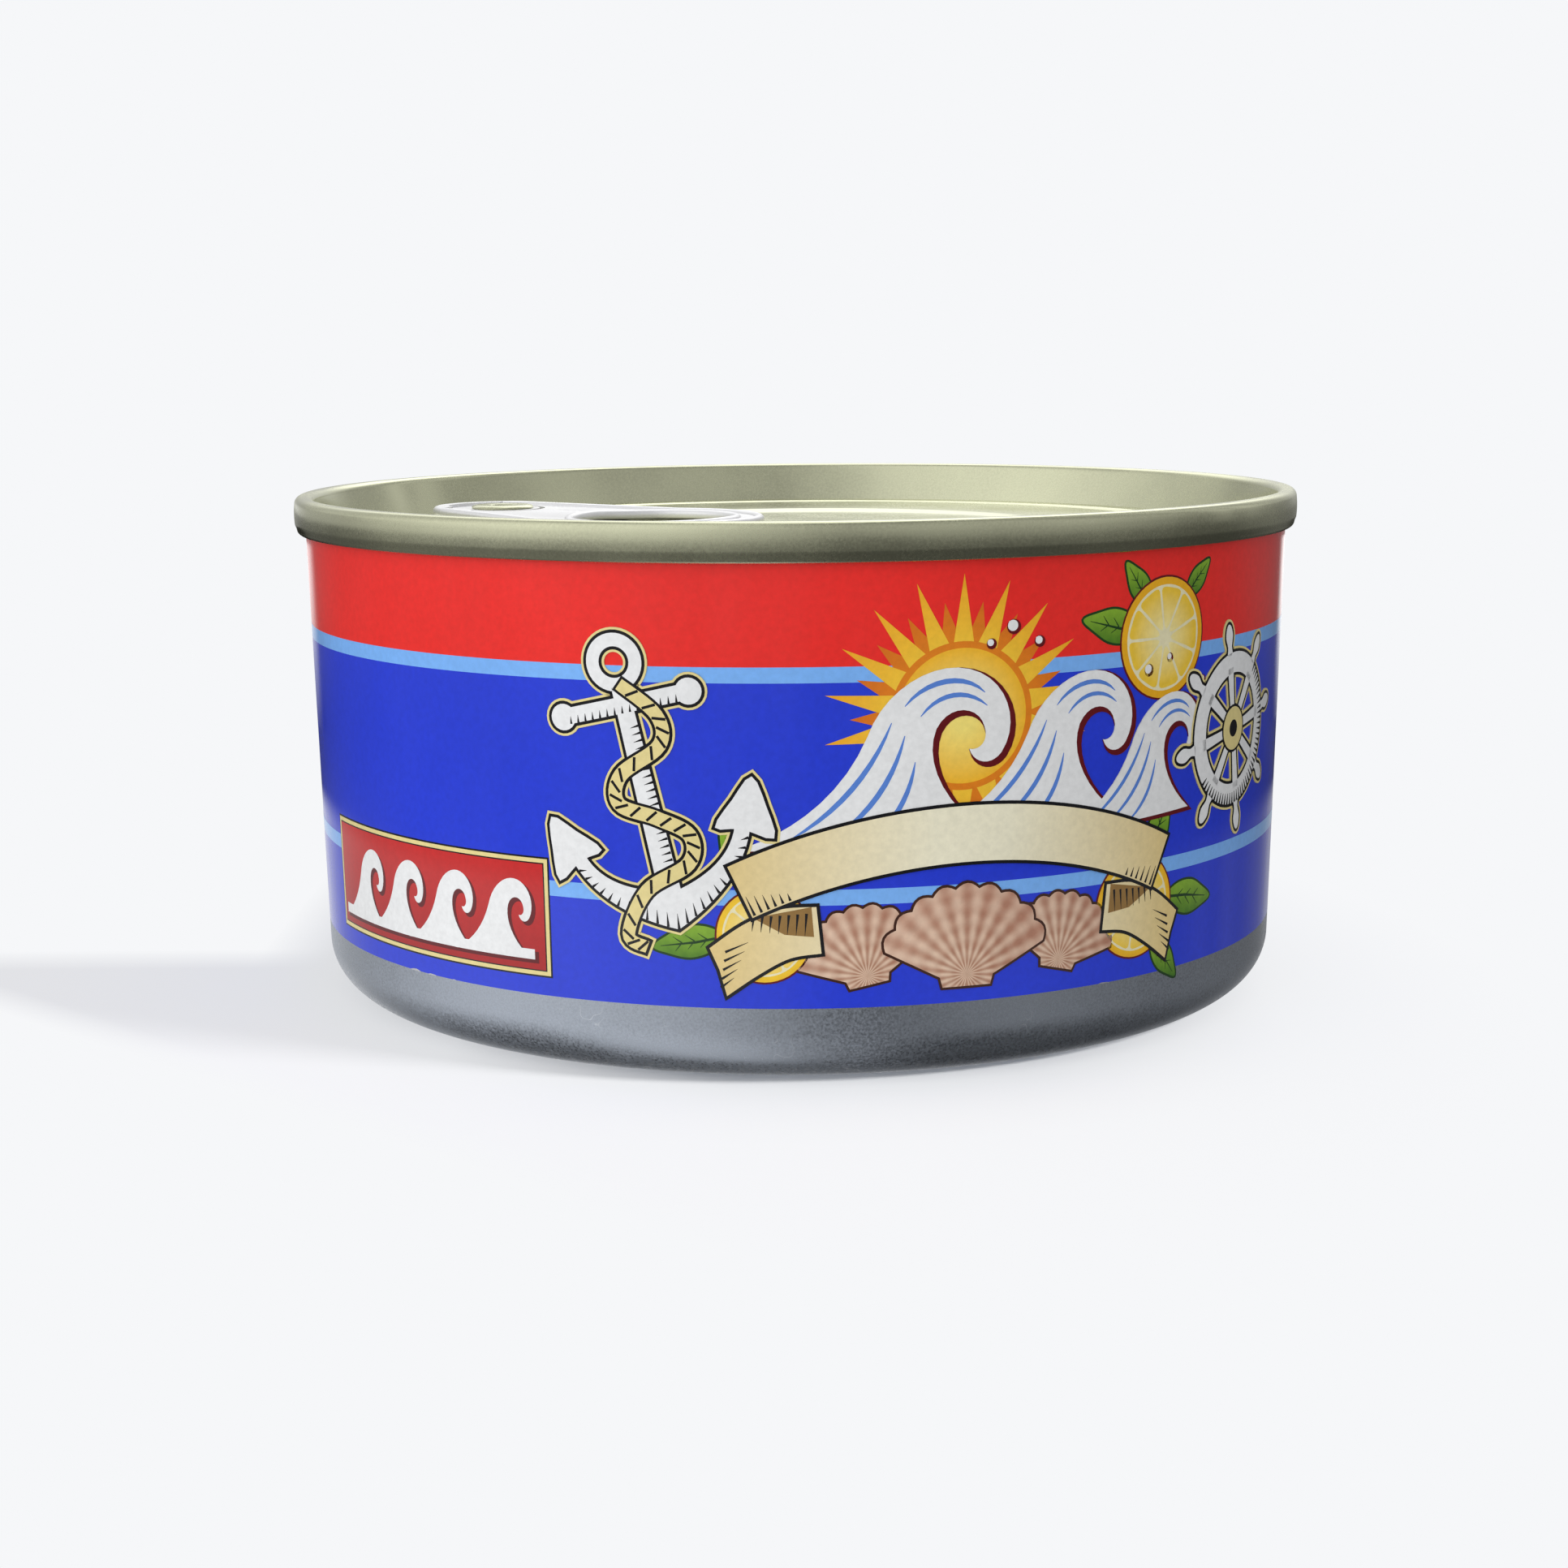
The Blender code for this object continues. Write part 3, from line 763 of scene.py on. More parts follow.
# The ribbon is blank. It arches over the shells and folds back to a forked tail at each end, in
# cream with a black outline and engraver's lines in the folds.
def ribbon_cream(tree):
    parts = add_node(tree, "ShaderNodeSeparateXYZ")
    tree.links.new(add_node(tree, "ShaderNodeUVMap", uv_map="print").outputs[0], parts.inputs[0])
    away = maths(tree, "ABSOLUTE", parts.outputs["X"])
    share = spread_over(tree, away, 3.0, 19.0)
    return blend_colours(tree, share, (0.90, 0.86, 0.66, 1.0), (0.78, 0.60, 0.26, 1.0))


RIBBON = printed("ribbon_ink", ribbon_cream)
TAN = printed("tan_ink", (0.30, 0.17, 0.05))
RIBBON_MIDDLE = Vector((13.4, 18.0))
ARCH_CENTRE = Vector((13.4, -22.0))
ARCH_RADIUS, RIBBON_WIDTH, ARCH_HALF = 43.4, 4.3, 25.5


def arch(radius, start, end, pieces=40):
    return [Vector(point) for point in arc(ARCH_CENTRE, radius, 90 - start, 90 - end, pieces)]


outer = arch(ARCH_RADIUS, -ARCH_HALF, ARCH_HALF)
inner = arch(ARCH_RADIUS - RIBBON_WIDTH, ARCH_HALF, -ARCH_HALF)
band = outer + inner
tails, tail_folds, fold_lines = [], [], []
for flip in (True, False):
    side = -1 if flip else 1
    corner = arch(ARCH_RADIUS - RIBBON_WIDTH, side * ARCH_HALF, side * ARCH_HALF, 1)[0]
    top = arch(ARCH_RADIUS, side * ARCH_HALF, side * ARCH_HALF, 1)[0]
    tail = smooth([(-5.2, 0.9), (-2.2, 0.7), (0.8, -0.6), (3.6, -2.6)], False) + [Vector((2.8, -4.4)), Vector((2.2, -6.6))]
    tail += smooth([(2.2, -6.6), (-0.4, -4.8), (-3.0, -3.4), (-5.6, -3.0)], False)[1:]
    tails.append(moved(tail, corner, 0, 0.92, flip))
    fold = [(0.0, 0.0), (-4.8, 0.9), (-5.0, -1.6), (-2.6, -1.4)]
    tail_folds.append(moved(fold, corner, 0, 0.92, flip))
    for i in range(7):
        start_point = Vector((-4.4 + 0.72 * i, 0.35 - 0.05 * i))
        line = stroke([start_point, start_point + Vector((0.15, -1.9 + 0.12 * i))], 0.24, 1.0, 0.1)
        fold_lines.append(moved(line, corner, 0, 0.92, flip))
    for i in range(5):
        start_point = Vector((2.3 + 0.1 * i, -2.9 - 0.75 * i))
        line = stroke([start_point, start_point + Vector((-1.9 + 0.2 * i, 0.85))], 0.22, 1.0, 0.1)
        fold_lines.append(moved(line, corner, 0, 0.92, flip))
band_lines = []
for side in (-1, 1):
    for i in range(6):
        angle = side * (ARCH_HALF - 0.35 - i * 0.85)
        path = [arch(ARCH_RADIUS - RIBBON_WIDTH + reach, angle, angle, 1)[0] for reach in (0.1, 1.7 - 0.2 * i)]
        band_lines.append(stroke(path, 0.22, 1.0, 0.1))
lay_on_wall("print_ribbon_tail_edges", [grown(tail, 0.26) for tail in tails], BLACK, 12)
lay_on_wall("print_ribbon_tails", tails, RIBBON, 13, centres=[RIBBON_MIDDLE])
lay_on_wall("print_ribbon_folds", tail_folds, TAN, 14)
lay_on_wall("print_ribbon_fold_lines", fold_lines, BLACK, 14.5)
lay_on_wall("print_ribbon_edge", [grown(band, 0.26)], BLACK, 15)
lay_on_wall("print_ribbon", [band], RIBBON, 16, centres=[RIBBON_MIDDLE])
lay_on_wall("print_ribbon_lines", band_lines, BLACK, 17)

# An anchor with its rope stands on the left and a ship's wheel on the right. Both are engraved in
# black on white, with a cream keyline round the black.
arm_outside = bezier(
    (-8.6, -3.2), (-8.0, -7.6), (-4.2, -10.6), (0.0, -12.4), (4.2, -10.6), (8.0, -7.6), (8.6, -3.2), pieces=14
)
arm_inside = bezier(
    (6.9, -4.6), (6.0, -7.0), (3.6, -8.4), (0.4, -9.1), (-3.6, -8.4), (-6.0, -7.0), (-6.9, -4.6), pieces=14
)
crown = arm_outside + arm_inside
anchor_parts = [
    crown,
    [(-1.0, -9.6), (1.0, -9.6), (0.75, 9.0), (-0.75, 9.0)],
    box((-5.6, 6.7), (5.6, 8.1)),
    disc((-5.8, 7.4), 1.15, 24),
    disc((5.8, 7.4), 1.15, 24),
    smooth([(9.9, -6.4), (9.9, -3.6), (9.3, -0.8), (7.2, -2.4), (5.2, -4.4), (7.4, -5.0)], pieces=3),
    smooth([(-9.9, -6.4), (-7.4, -5.0), (-5.2, -4.4), (-7.2, -2.4), (-9.3, -0.8), (-9.9, -3.6)], pieces=3),
]
anchor_ring = (disc((0.0, 11.1), 2.5, 40), disc((0.0, 11.1), 1.35, 32))
anchor_lines = [stroke([(0.92, -8.2 + 0.62 * i), (0.05, -8.3 + 0.62 * i)], 0.24, 1.0, 0.1) for i in range(23)]
anchor_lines += [stroke([(-5.2 + 0.7 * i, 6.7), (-5.1 + 0.7 * i, 7.35)], 0.22, 1.0, 0.1) for i in range(15)]
for outside, inside in list(zip(arm_outside, arm_inside[::-1]))[3:-3]:
    anchor_lines.append(stroke([outside, outside.lerp(inside, 0.42)], 0.26, 1.0, 0.1))
rope_turns = [
    (0.0, 9.2), (2.6, 6.0), (2.2, 3.4), (-1.8, 1.6), (-2.6, -0.8), (0.4, -2.6),
    (2.9, -4.6), (2.2, -7.0), (-2.0, -8.6), (-4.6, -12.0), (-3.2, -13.4),
]
rope_path = smooth(rope_turns, False, 8)
rope = stroke(rope_path, 1.25, 0.85, 0.85)
rope_lines = []
for before, point in zip(rope_path[2::3], rope_path[3::3]):
    along = (point - before).normalized()
    side = Vector((-along.y, along.x))
    rope_lines.append(stroke([point - side * 0.5 - along * 0.35, point + side * 0.5 + along * 0.35], 0.24, 1.0, 1.0))

handle_turned = [
    (6.6, -0.42), (7.3, -0.34), (8.2, -0.62), (9.0, -0.40), (9.3, 0.0),
    (9.0, 0.40), (8.2, 0.62), (7.3, 0.34), (6.6, 0.42),
]
handle = smooth(handle_turned, pieces=3)
wheel_parts = [moved(handle, (0, 0), i * 45 + 10) for i in range(8)]
spokes = [moved([(1.5, -0.36), (5.4, -0.5), (5.4, 0.5), (1.5, 0.36)], (0, 0), i * 45 + 10) for i in range(8)]
hub = disc((0, 0), 1.9, 36)
rim_out, rim_in = disc((0, 0), 6.7, 72), disc((0, 0), 4.9, 60)
wheel_lines = []
for i in range(44):
    angle = math.radians(-140 + 190 * i / 43)
    way = Vector((math.cos(angle), math.sin(angle)))
    wheel_lines.append(stroke([way * 6.7, way * (5.9 - 0.25 * math.sin(math.pi * i / 43))], 0.26, 1.0, 0.1))
ring_line = (disc((0, 0), 5.25, 60), disc((0, 0), 5.12, 60))


def at_anchor(loop):
    return moved(loop, (-11.5, 22.9), 13, 0.88)


def at_wheel(loop):
    return moved(loop, (41.4, 24.6), 0, 0.93)


solid_parts = [at_anchor(part) for part in anchor_parts] + [at_wheel(part) for part in wheel_parts]
rims = [tuple(at_anchor(loop) for loop in anchor_ring), (at_wheel(rim_out), at_wheel(rim_in))]
spoke_parts = [at_wheel(part) for part in spokes] + [at_wheel(hub)]
engraved = solid_parts + spoke_parts + [at_anchor(rope)]


def engraving(name, by, ink, layer):
    bodies = [grown(part, by) for part in engraved]
    rings = []
    for outside, inside in rims:
        rings.append((grown(outside, by), grown(inside, -by)))
    lay_on_wall(name, bodies, ink, layer, rings=rings)


engraving("print_engraving_keyline", 0.42, CREAM, 12)
engraving("print_engraving_black", 0.24, BLACK, 13)
lay_on_wall("print_engraving_white", solid_parts + spoke_parts[:-1], WHITE, 14, rings=[rims[0], rims[1]])
lay_on_wall("print_rope_edge", [grown(at_anchor(rope), 0.2), grown(spoke_parts[-1], 0.2)], BLACK, 15)
lay_on_wall("print_rope", [at_anchor(rope), spoke_parts[-1]], CREAM, 16)
lines = [at_anchor(line) for line in rope_lines] + [at_wheel(line) for line in wheel_lines]
lines += [at_wheel(disc((0, 0), 0.75, 24))]
lay_on_wall("print_rope_lines", lines, BLACK, 17)
lay_on_wall("print_engraving_lines", [at_anchor(line) for line in anchor_lines], BLACK, 14.5)

# The lid is pressed from lacquered tinplate and folded over the cup's edge in a double seam. Inside
# the rim it drops to a groove and comes up to a scored panel with stiffening beads, a hollow under
# the finger ring and a rivet raised from the panel's own metal.
GOLD = metal_sheet("gold_lacquer", (0.68, 0.69, 0.485), (0.86, 0.86, 0.68), 0.24, 0.35, 0.5, bump=0.1)


def lid_face():
    """The lid's upper face from its centre to the top of the wall inside the rim."""
    groove_round = 0.65
    panel_edge = 39.45
    edge_round = 0.4
    groove_middle = (panel_edge + groove_round, can_height - 4.75 + groove_round)
    bead = panel_height - 0.4
    middle = panel_height - 0.3
    score = 38.3
    rings = [(0.0, middle), (5.0, middle), (11.0, middle), (17.0, middle)]
    return [
        *rings,
        *eased((23.2, middle), (24.6, panel_height)),
        (29.0, panel_height),
        *eased((34.4, panel_height), (35.4, bead)),
        *eased((36.3, bead), (37.3, panel_height)),
        (score - 0.16, panel_height),
        (score - 0.06, panel_height - 0.12),
        (score + 0.06, panel_height - 0.12),
        (score + 0.16, panel_height),
        *arc((panel_edge - edge_round, panel_height - edge_round), edge_round, 90, 0, 8),
        *arc(groove_middle, groove_round, 180, 360, 16),
    ]


def lid_outline():
    face = lid_face()
    sheet = 0.25
    rim_inner = 42.0
    rim_round = 0.62
    round_height = can_height - rim_round
    barrel = 7.0
    barrel_angle = 7
    barrel_drop = barrel * (1 - math.cos(math.radians(barrel_angle)))
    skirt_inner = wall_top_radius + 0.03
    slot_top = seam_bottom + 0.35
    seam_foot = can_height - 3.1
    slot_inner = 41.5
    seam = [
        *arc((rim_inner + rim_round, round_height), rim_round, 180, 90, 10),
        *arc((seam_radius - barrel_drop - rim_round, round_height), rim_round, 90, barrel_angle, 10),
        *arc((seam_radius - barrel, can_height - 1.5), barrel, barrel_angle, -barrel_angle, 8)[1:],
        (seam_radius - 0.16, can_height - 2.6),
        *arc((seam_radius - 0.55, seam_foot + 0.35), 0.35, -12, -90, 8),
        (skirt_inner + 0.1, seam_foot),
        (skirt_inner, seam_foot + 0.1),
        (skirt_inner, slot_top),
        (slot_inner, slot_top),
    ]
    under = []
    for before, point, after in zip(face, face[1:], face[2:]):
        along = Vector((after[0] - before[0], after[1] - before[1])).normalized()
        under.append((max(point[0] + along.y * sheet, 0.01), point[1] - along.x * sheet))
    under.append((face[-1][0] + sheet, face[-1][1]))
    return face + seam + under[::-1] + [(0.0, face[0][1] - sheet)]


def deselect():
    bpy.ops.object.select_all(action="DESELECT")


def combine(target, tool, operation):
    """Joins, or cuts, two pieces into one and clears the second away."""
    bpy.context.view_layer.objects.active = target
    change = target.modifiers.new("Change", "BOOLEAN")
    change.operation = operation
    change.object = tool
    change.solver = "EXACT"
    bpy.ops.object.modifier_apply(modifier=change.name)
    bpy.data.objects.remove(tool)


TAB_TURN = math.radians(152.4)
RIVET_AT = 31.0
rivet_face = [
    (0.0, 0.88), (0.75, 0.90), (0.95, 1.00), (1.15, 1.20), (1.4, 1.25), (2.5, 1.24), (2.78, 1.16), (2.9, 1.04),
    (2.82, 0.93), (1.6, 0.92), (1.6, 0.42), (1.75, 0.22), (2.3, 0.06), (3.3, -0.02), (3.3, -0.2), (0.0, -0.2),
]
lid = turn_up("lid_sheet", lid_outline(), soft_angle=30)
rivet_middle = (RIVET_AT * math.cos(TAB_TURN), RIVET_AT * math.sin(TAB_TURN))
rivet = turn_up("rivet", [(radius, panel_height + rise) for radius, rise in rivet_face], rivet_middle, 48)
combine(lid, rivet, "UNION")
lid.select_set(True)
bpy.ops.object.shade_smooth_by_angle(angle=math.radians(30))
deselect()
lid.data.materials.append(GOLD)
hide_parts("lid")
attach(lid, "root")

# The ring-pull tab is pressed from bright tinplate. Its outer edge and the edge of its finger hole are
# curled round, a flat web joins them, and a slot lanced round the rivet leaves the tongue that the
# rivet holds. The tab lies flat with its nose over the score.
tab_low, tab_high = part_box("pull_tab")
RING_AT, NOSE_AT = 15.0, 31.0
RING_RADIUS, NOSE_RADIUS = 10.5, 6.5
CURL = (tab_high.z - tab_low.z) / MM / 2
RING_DROP = 0.55
tab_bottom = tab_low.z / MM


def flat_loop(name, points, height):
    """A flat closed outline of edges, made from a circle whose vertices are moved onto the points."""
    bpy.ops.mesh.primitive_circle_add(vertices=len(points), radius=MM, fill_type="NOTHING")
    loop = bpy.context.object
    loop.name = loop.data.name = name
    for vertex, point in zip(loop.data.vertices, points):
        vertex.co = Vector((point[0], point[1], height)) * MM
    return loop


def curled_edge(name, points, height):
    """A round curl along a closed outline."""
    curl = flat_loop(name, points, height)
    bpy.ops.object.convert(target="CURVE")
    curl = bpy.context.object
    curl.data.dimensions = "3D"
    curl.data.bevel_depth = CURL * MM
    curl.data.bevel_resolution = 4
    bpy.ops.object.convert(target="MESH")
    curl = bpy.context.object
    bpy.ops.object.mode_set(mode="EDIT")
    bpy.ops.mesh.select_all(action="SELECT")
    bpy.ops.mesh.remove_doubles(threshold=0.0000001)
    bpy.ops.mesh.normals_make_consistent(inside=False)
    bpy.ops.object.mode_set(mode="OBJECT")
    deselect()
    return curl


def plate(name, points, bottom, top):
    """A flat plate with the outline given."""
    sheet = flat_loop(name, points, bottom)
    bpy.ops.object.mode_set(mode="EDIT")
    bpy.ops.mesh.select_all(action="SELECT")
    bpy.ops.mesh.edge_face_add()
    bpy.ops.mesh.extrude_region_move(TRANSFORM_OT_translate={"value": (0.0, 0.0, (top - bottom) * MM)})
    bpy.ops.mesh.select_all(action="SELECT")
    bpy.ops.mesh.normals_make_consistent(inside=False)
    bpy.ops.object.mode_set(mode="OBJECT")
    deselect()
    return sheet


def two_circle_hull(near, near_radius, far, far_radius, inset, pieces=36):
    """The outline of a band pulled tight round two circles on the tab's axis."""
    lean = math.degrees(math.acos((near_radius - far_radius) / (far - near)))
    return arc((far, 0.0), far_radius - inset, -lean, lean, pieces) + arc(
        (near, 0.0), near_radius - inset, lean, 360 - lean, 2 * pieces
    )


def oval(middle, half_length, half_width, grow=0.0, pieces=72):
    loop = []
    for i in range(pieces):
        a = 2 * math.pi * i / pieces
        c, s = math.cos(a), math.sin(a)
        loop.append((
            middle + (half_length + grow) * math.copysign(abs(c) ** 0.92, c),
            (half_width + grow) * math.copysign(abs(s) ** 0.92, s),
        ))
    return loop


web_low, web_high = tab_bottom + 0.3, tab_bottom + 0.6
tab = plate("tab_web", two_circle_hull(RING_AT, RING_RADIUS, NOSE_AT, NOSE_RADIUS, CURL), web_low, web_high)
finger_hole = plate("finger_hole", oval(14.6, 6.9, 7.3, CURL), web_low - 1.0, web_high + 1.0)
combine(tab, finger_hole, "DIFFERENCE")
slot_path = arc((RIVET_AT, 0.0), 3.75, 70, 290, 30)
slot_outline = [tuple(point) for point in stroke(slot_path, 0.5, 1.0, 1.0)]
slot = plate("lanced_slot", slot_outline, web_low - 1.0, web_high + 1.0)
combine(tab, slot, "DIFFERENCE")
stem_hole = plate("stem_hole", arc((RIVET_AT, 0.0), 1.75, 0, 360, 36)[:-1], web_low - 1.0, web_high + 1.0)
combine(tab, stem_hole, "DIFFERENCE")
curl_path = two_circle_hull(RING_AT, RING_RADIUS, NOSE_AT, NOSE_RADIUS, CURL)
outer_curl = curled_edge("outer_curl", curl_path, tab_bottom + CURL)
combine(tab, outer_curl, "UNION")
hole_curl = curled_edge("hole_curl", oval(14.6, 6.9, 7.3, CURL), tab_bottom + CURL)
combine(tab, hole_curl, "UNION")
nose_middle = (NOSE_AT + 0.6, 0.0)
nose_band = arc(nose_middle, 5.6, -62, 62, 24) + arc(nose_middle, 4.5, 58, -58, 24)
nose_fill = plate("nose_fill", nose_band, web_low, web_high + 0.28)
combine(tab, nose_fill, "UNION")
tab.name = tab.data.name = "pull_tab"
for vertex in tab.data.vertices:
    share = min(max((25.0 - vertex.co.x / MM) / 5.0, 0.0), 1.0)
    vertex.co.z -= RING_DROP * MM * share * share * (3.0 - 2.0 * share)
bpy.context.view_layer.objects.active = tab
tab.select_set(True)
bpy.ops.transform.rotate(value=-TAB_TURN, orient_axis="Z", center_override=(0.0, 0.0, 0.0))
bpy.ops.object.transform_apply(location=True, rotation=True, scale=True)
bpy.ops.object.shade_smooth_by_angle(angle=math.radians(40))
deselect()
tinplate = metal_sheet("bright_tinplate", (0.95, 0.95, 0.965), (0.97, 0.97, 0.98), 0.40, 0.2, 0.6, bump=0.06)
tinplate.node_tree.nodes["Principled BSDF"].inputs["Metallic"].default_value = 0.72
tab.data.materials.append(tinplate)
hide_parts("pull_tab")
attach(tab, "root")

# Light, floor and camera: a pale sweep with soft light, broad on the left and weak on the right. Cards
# that only the gloss mirrors stand behind both edges and lie round the foot. A low light on the right
# draws the shadow out to the left, and the camera stands at the photograph's place.
world = bpy.data.worlds.new("studio")
bpy.context.scene.world = world
world.use_nodes = True
sky = world.node_tree
background = sky.nodes["Background"]
PALE = (0.9217, 0.9301, 0.9473)


def ramp_of(tree, value, low, high, stops, peak):
    """A smooth curve through (value, level) stops."""
    ramp = add_node(tree, "ShaderNodeValToRGB")
    ramp.color_ramp.interpolation = "EASE"
    for _ in stops[2:]:
        ramp.color_ramp.elements.new(0.5)
    for element, (at, level) in zip(ramp.color_ramp.elements, stops):
        element.position = (at - low) / (high - low)
        element.color = (level / peak,) * 3 + (1.0,)
    tree.links.new(maths(tree, "DIVIDE", maths(tree, "SUBTRACT", value, low), high - low), ramp.inputs["Fac"])
    return maths(tree, "MULTIPLY", ramp.outputs["Color"], peak)


ABOVE = [
    (-180, 1.7), (-158, 1.4), (-141, 0.66), (-122, 0.62), (-103, 0.76), (-84, 0.95), (-65, 1.06), (-47, 1.0),
    (-28, 0.92), (-9, 0.60), (9, 0.41), (28, 0.50), (47, 0.46), (65, 0.54), (84, 0.43), (103, 0.35), (111, 0.75),
    (116, 0.34), (123, 0.85), (129, 0.40), (143, 0.62), (158, 2.0), (180, 1.9),
]
LEVEL = [
    (-180, 0.9), (-161, 0.9), (-140, 0.53), (-120, 0.50), (-99, 0.70), (-77, 0.92), (-55, 0.86), (-33, 0.72),
    (-11, 0.50), (11, 0.10), (33, 0.28), (55, 0.34), (77, 0.25), (99, 0.16), (111, 0.25), (116, 0.14), (123, 0.25),
    (129, 0.14), (145, 0.2), (161, 0.5), (180, 0.9),
]
BELOW = [
    (-180, 0.2), (-145, 0.12), (-120, 0.12), (-100, 0.10), (-80, 0.23), (-53, 0.86), (-19, 0.74), (0, 0.40),
    (19, 0.15), (53, 0.08), (80, 0.10), (110, 0.08), (145, 0.05), (180, 0.2),
]
TABLE = [
    (-180, 0.5), (-162, 0.35), (-140, 0.14), (-120, 0.13), (-101, 0.19), (-78, 0.29), (-57, 0.34), (-35, 0.34),
    (-12, 0.24), (12, 0.15), (35, 0.14), (58, 0.16), (80, 0.12), (101, 0.10), (122, 0.15), (142, 0.13),
    (165, 0.3), (180, 0.5),
]
UP_IN_FRONT = [(-90, 0.5), (-4, 0.5), (1, 0.62), (7, 0.97), (30, 0.95), (57, 0.90), (75, 0.70), (90, 0.65)]
UP_BEHIND = [(-90, 0.3), (0, 0.3), (8, 0.36), (15, 0.45), (27, 0.95), (45, 1.0), (70, 0.75), (90, 0.45)]
direction = add_node(sky, "ShaderNodeTexCoord").outputs["Generated"]
parts = add_node(sky, "ShaderNodeSeparateXYZ")
sky.links.new(direction, parts.inputs[0])


def round_the_can(tree, x, y):
    """The angle round the can in degrees, 0 in front and positive on the right."""
    return maths(tree, "DEGREES", maths(tree, "ARCTAN2", x, maths(tree, "MULTIPLY", y, -1.0)))


def mixed(tree, share, first, second):
    return maths(tree, "MULTIPLY_ADD", share, maths(tree, "SUBTRACT", second, first), first)


azimuth = round_the_can(sky, parts.outputs["X"], parts.outputs["Y"])
elevation = maths(sky, "DEGREES", maths(sky, "ARCSINE", parts.outputs["Z"]))
behind = spread_over(sky, maths(sky, "ABSOLUTE", azimuth), 130, 152)
rise = mixed(
    sky, behind, ramp_of(sky, elevation, -90, 90, UP_IN_FRONT, 1.0), ramp_of(sky, elevation, -90, 90, UP_BEHIND, 1.0)
)
above = maths(sky, "MULTIPLY", ramp_of(sky, azimuth, -180, 180, ABOVE, 2.0), rise)
level = ramp_of(sky, azimuth, -180, 180, LEVEL, 1.5)
below = ramp_of(sky, azimuth, -180, 180, BELOW, 1.5)
mirrored_level = mixed(sky, spread_over(sky, elevation, -45, -22), below, level)
mirrored_level = mixed(sky, spread_over(sky, elevation, -3, 3), mirrored_level, above)
SOFT_FROM = Vector((-math.sin(math.radians(42)), -math.cos(math.radians(42)), 0.25)).normalized()
SOFT_ALL_ROUND, SOFT_BEAM = 0.385, 1.01
toward = add_node(sky, "ShaderNodeVectorMath", operation="DOT_PRODUCT")
sky.links.new(direction, toward.inputs[0])
toward.inputs[1].default_value = SOFT_FROM
facing = maths(sky, "MAXIMUM", toward.outputs["Value"], 0.0)
soft_level = maths(sky, "MULTIPLY_ADD", facing, SOFT_BEAM, SOFT_ALL_ROUND)
ray_kind = add_node(sky, "ShaderNodeLightPath")
lit_level = blend_colours(sky, ray_kind.outputs["Is Glossy Ray"], soft_level, mirrored_level)
shown = blend_colours(sky, ray_kind.outputs["Is Camera Ray"], lit_level, (*PALE, 1.0))
sky.links.new(shown, background.inputs["Color"])


def mirror_only(piece):
    """A card that shows in the metal's gloss and nowhere else."""
    piece.visible_camera = False
    piece.visible_diffuse = False
    piece.visible_shadow = False
    piece.visible_transmission = False


deselect()
bpy.ops.mesh.primitive_circle_add(vertices=96, radius=0.6, fill_type="NGON", location=(0.0, 0.0, 0.012))
table_card = bpy.context.object
table_card.name = table_card.data.name = "table_card"
card_paint, tree, shader = new_material("table_card_paint")
tree.nodes.remove(shader)
place = add_node(tree, "ShaderNodeTexCoord").outputs["Object"]
spot = add_node(tree, "ShaderNodeSeparateXYZ")
tree.links.new(place, spot.inputs[0])
away = add_node(tree, "ShaderNodeVectorMath", operation="LENGTH")
tree.links.new(place, away.inputs[0])
card_light = add_node(tree, "ShaderNodeEmission")
shade_round = ramp_of(tree, round_the_can(tree, spot.outputs["X"], spot.outputs["Y"]), -180, 180, TABLE, 1.0)
shade_out = spread_over(tree, away.outputs["Value"], 0.10, 0.22, 0.5, 1.05)
tree.links.new(maths(tree, "MULTIPLY", shade_round, shade_out), card_light.inputs["Color"])
clear = add_node(tree, "ShaderNodeBsdfTransparent")
edge = add_node(tree, "ShaderNodeMixShader")
tree.links.new(spread_over(tree, away.outputs["Value"], 0.050, 0.058), edge.inputs[0])
tree.links.new(clear.outputs[0], edge.inputs[1])
tree.links.new(card_light.outputs[0], edge.inputs[2])
tree.links.new(edge.outputs[0], tree.nodes["Material Output"].inputs["Surface"])
table_card.data.materials.append(card_paint)
mirror_only(table_card)

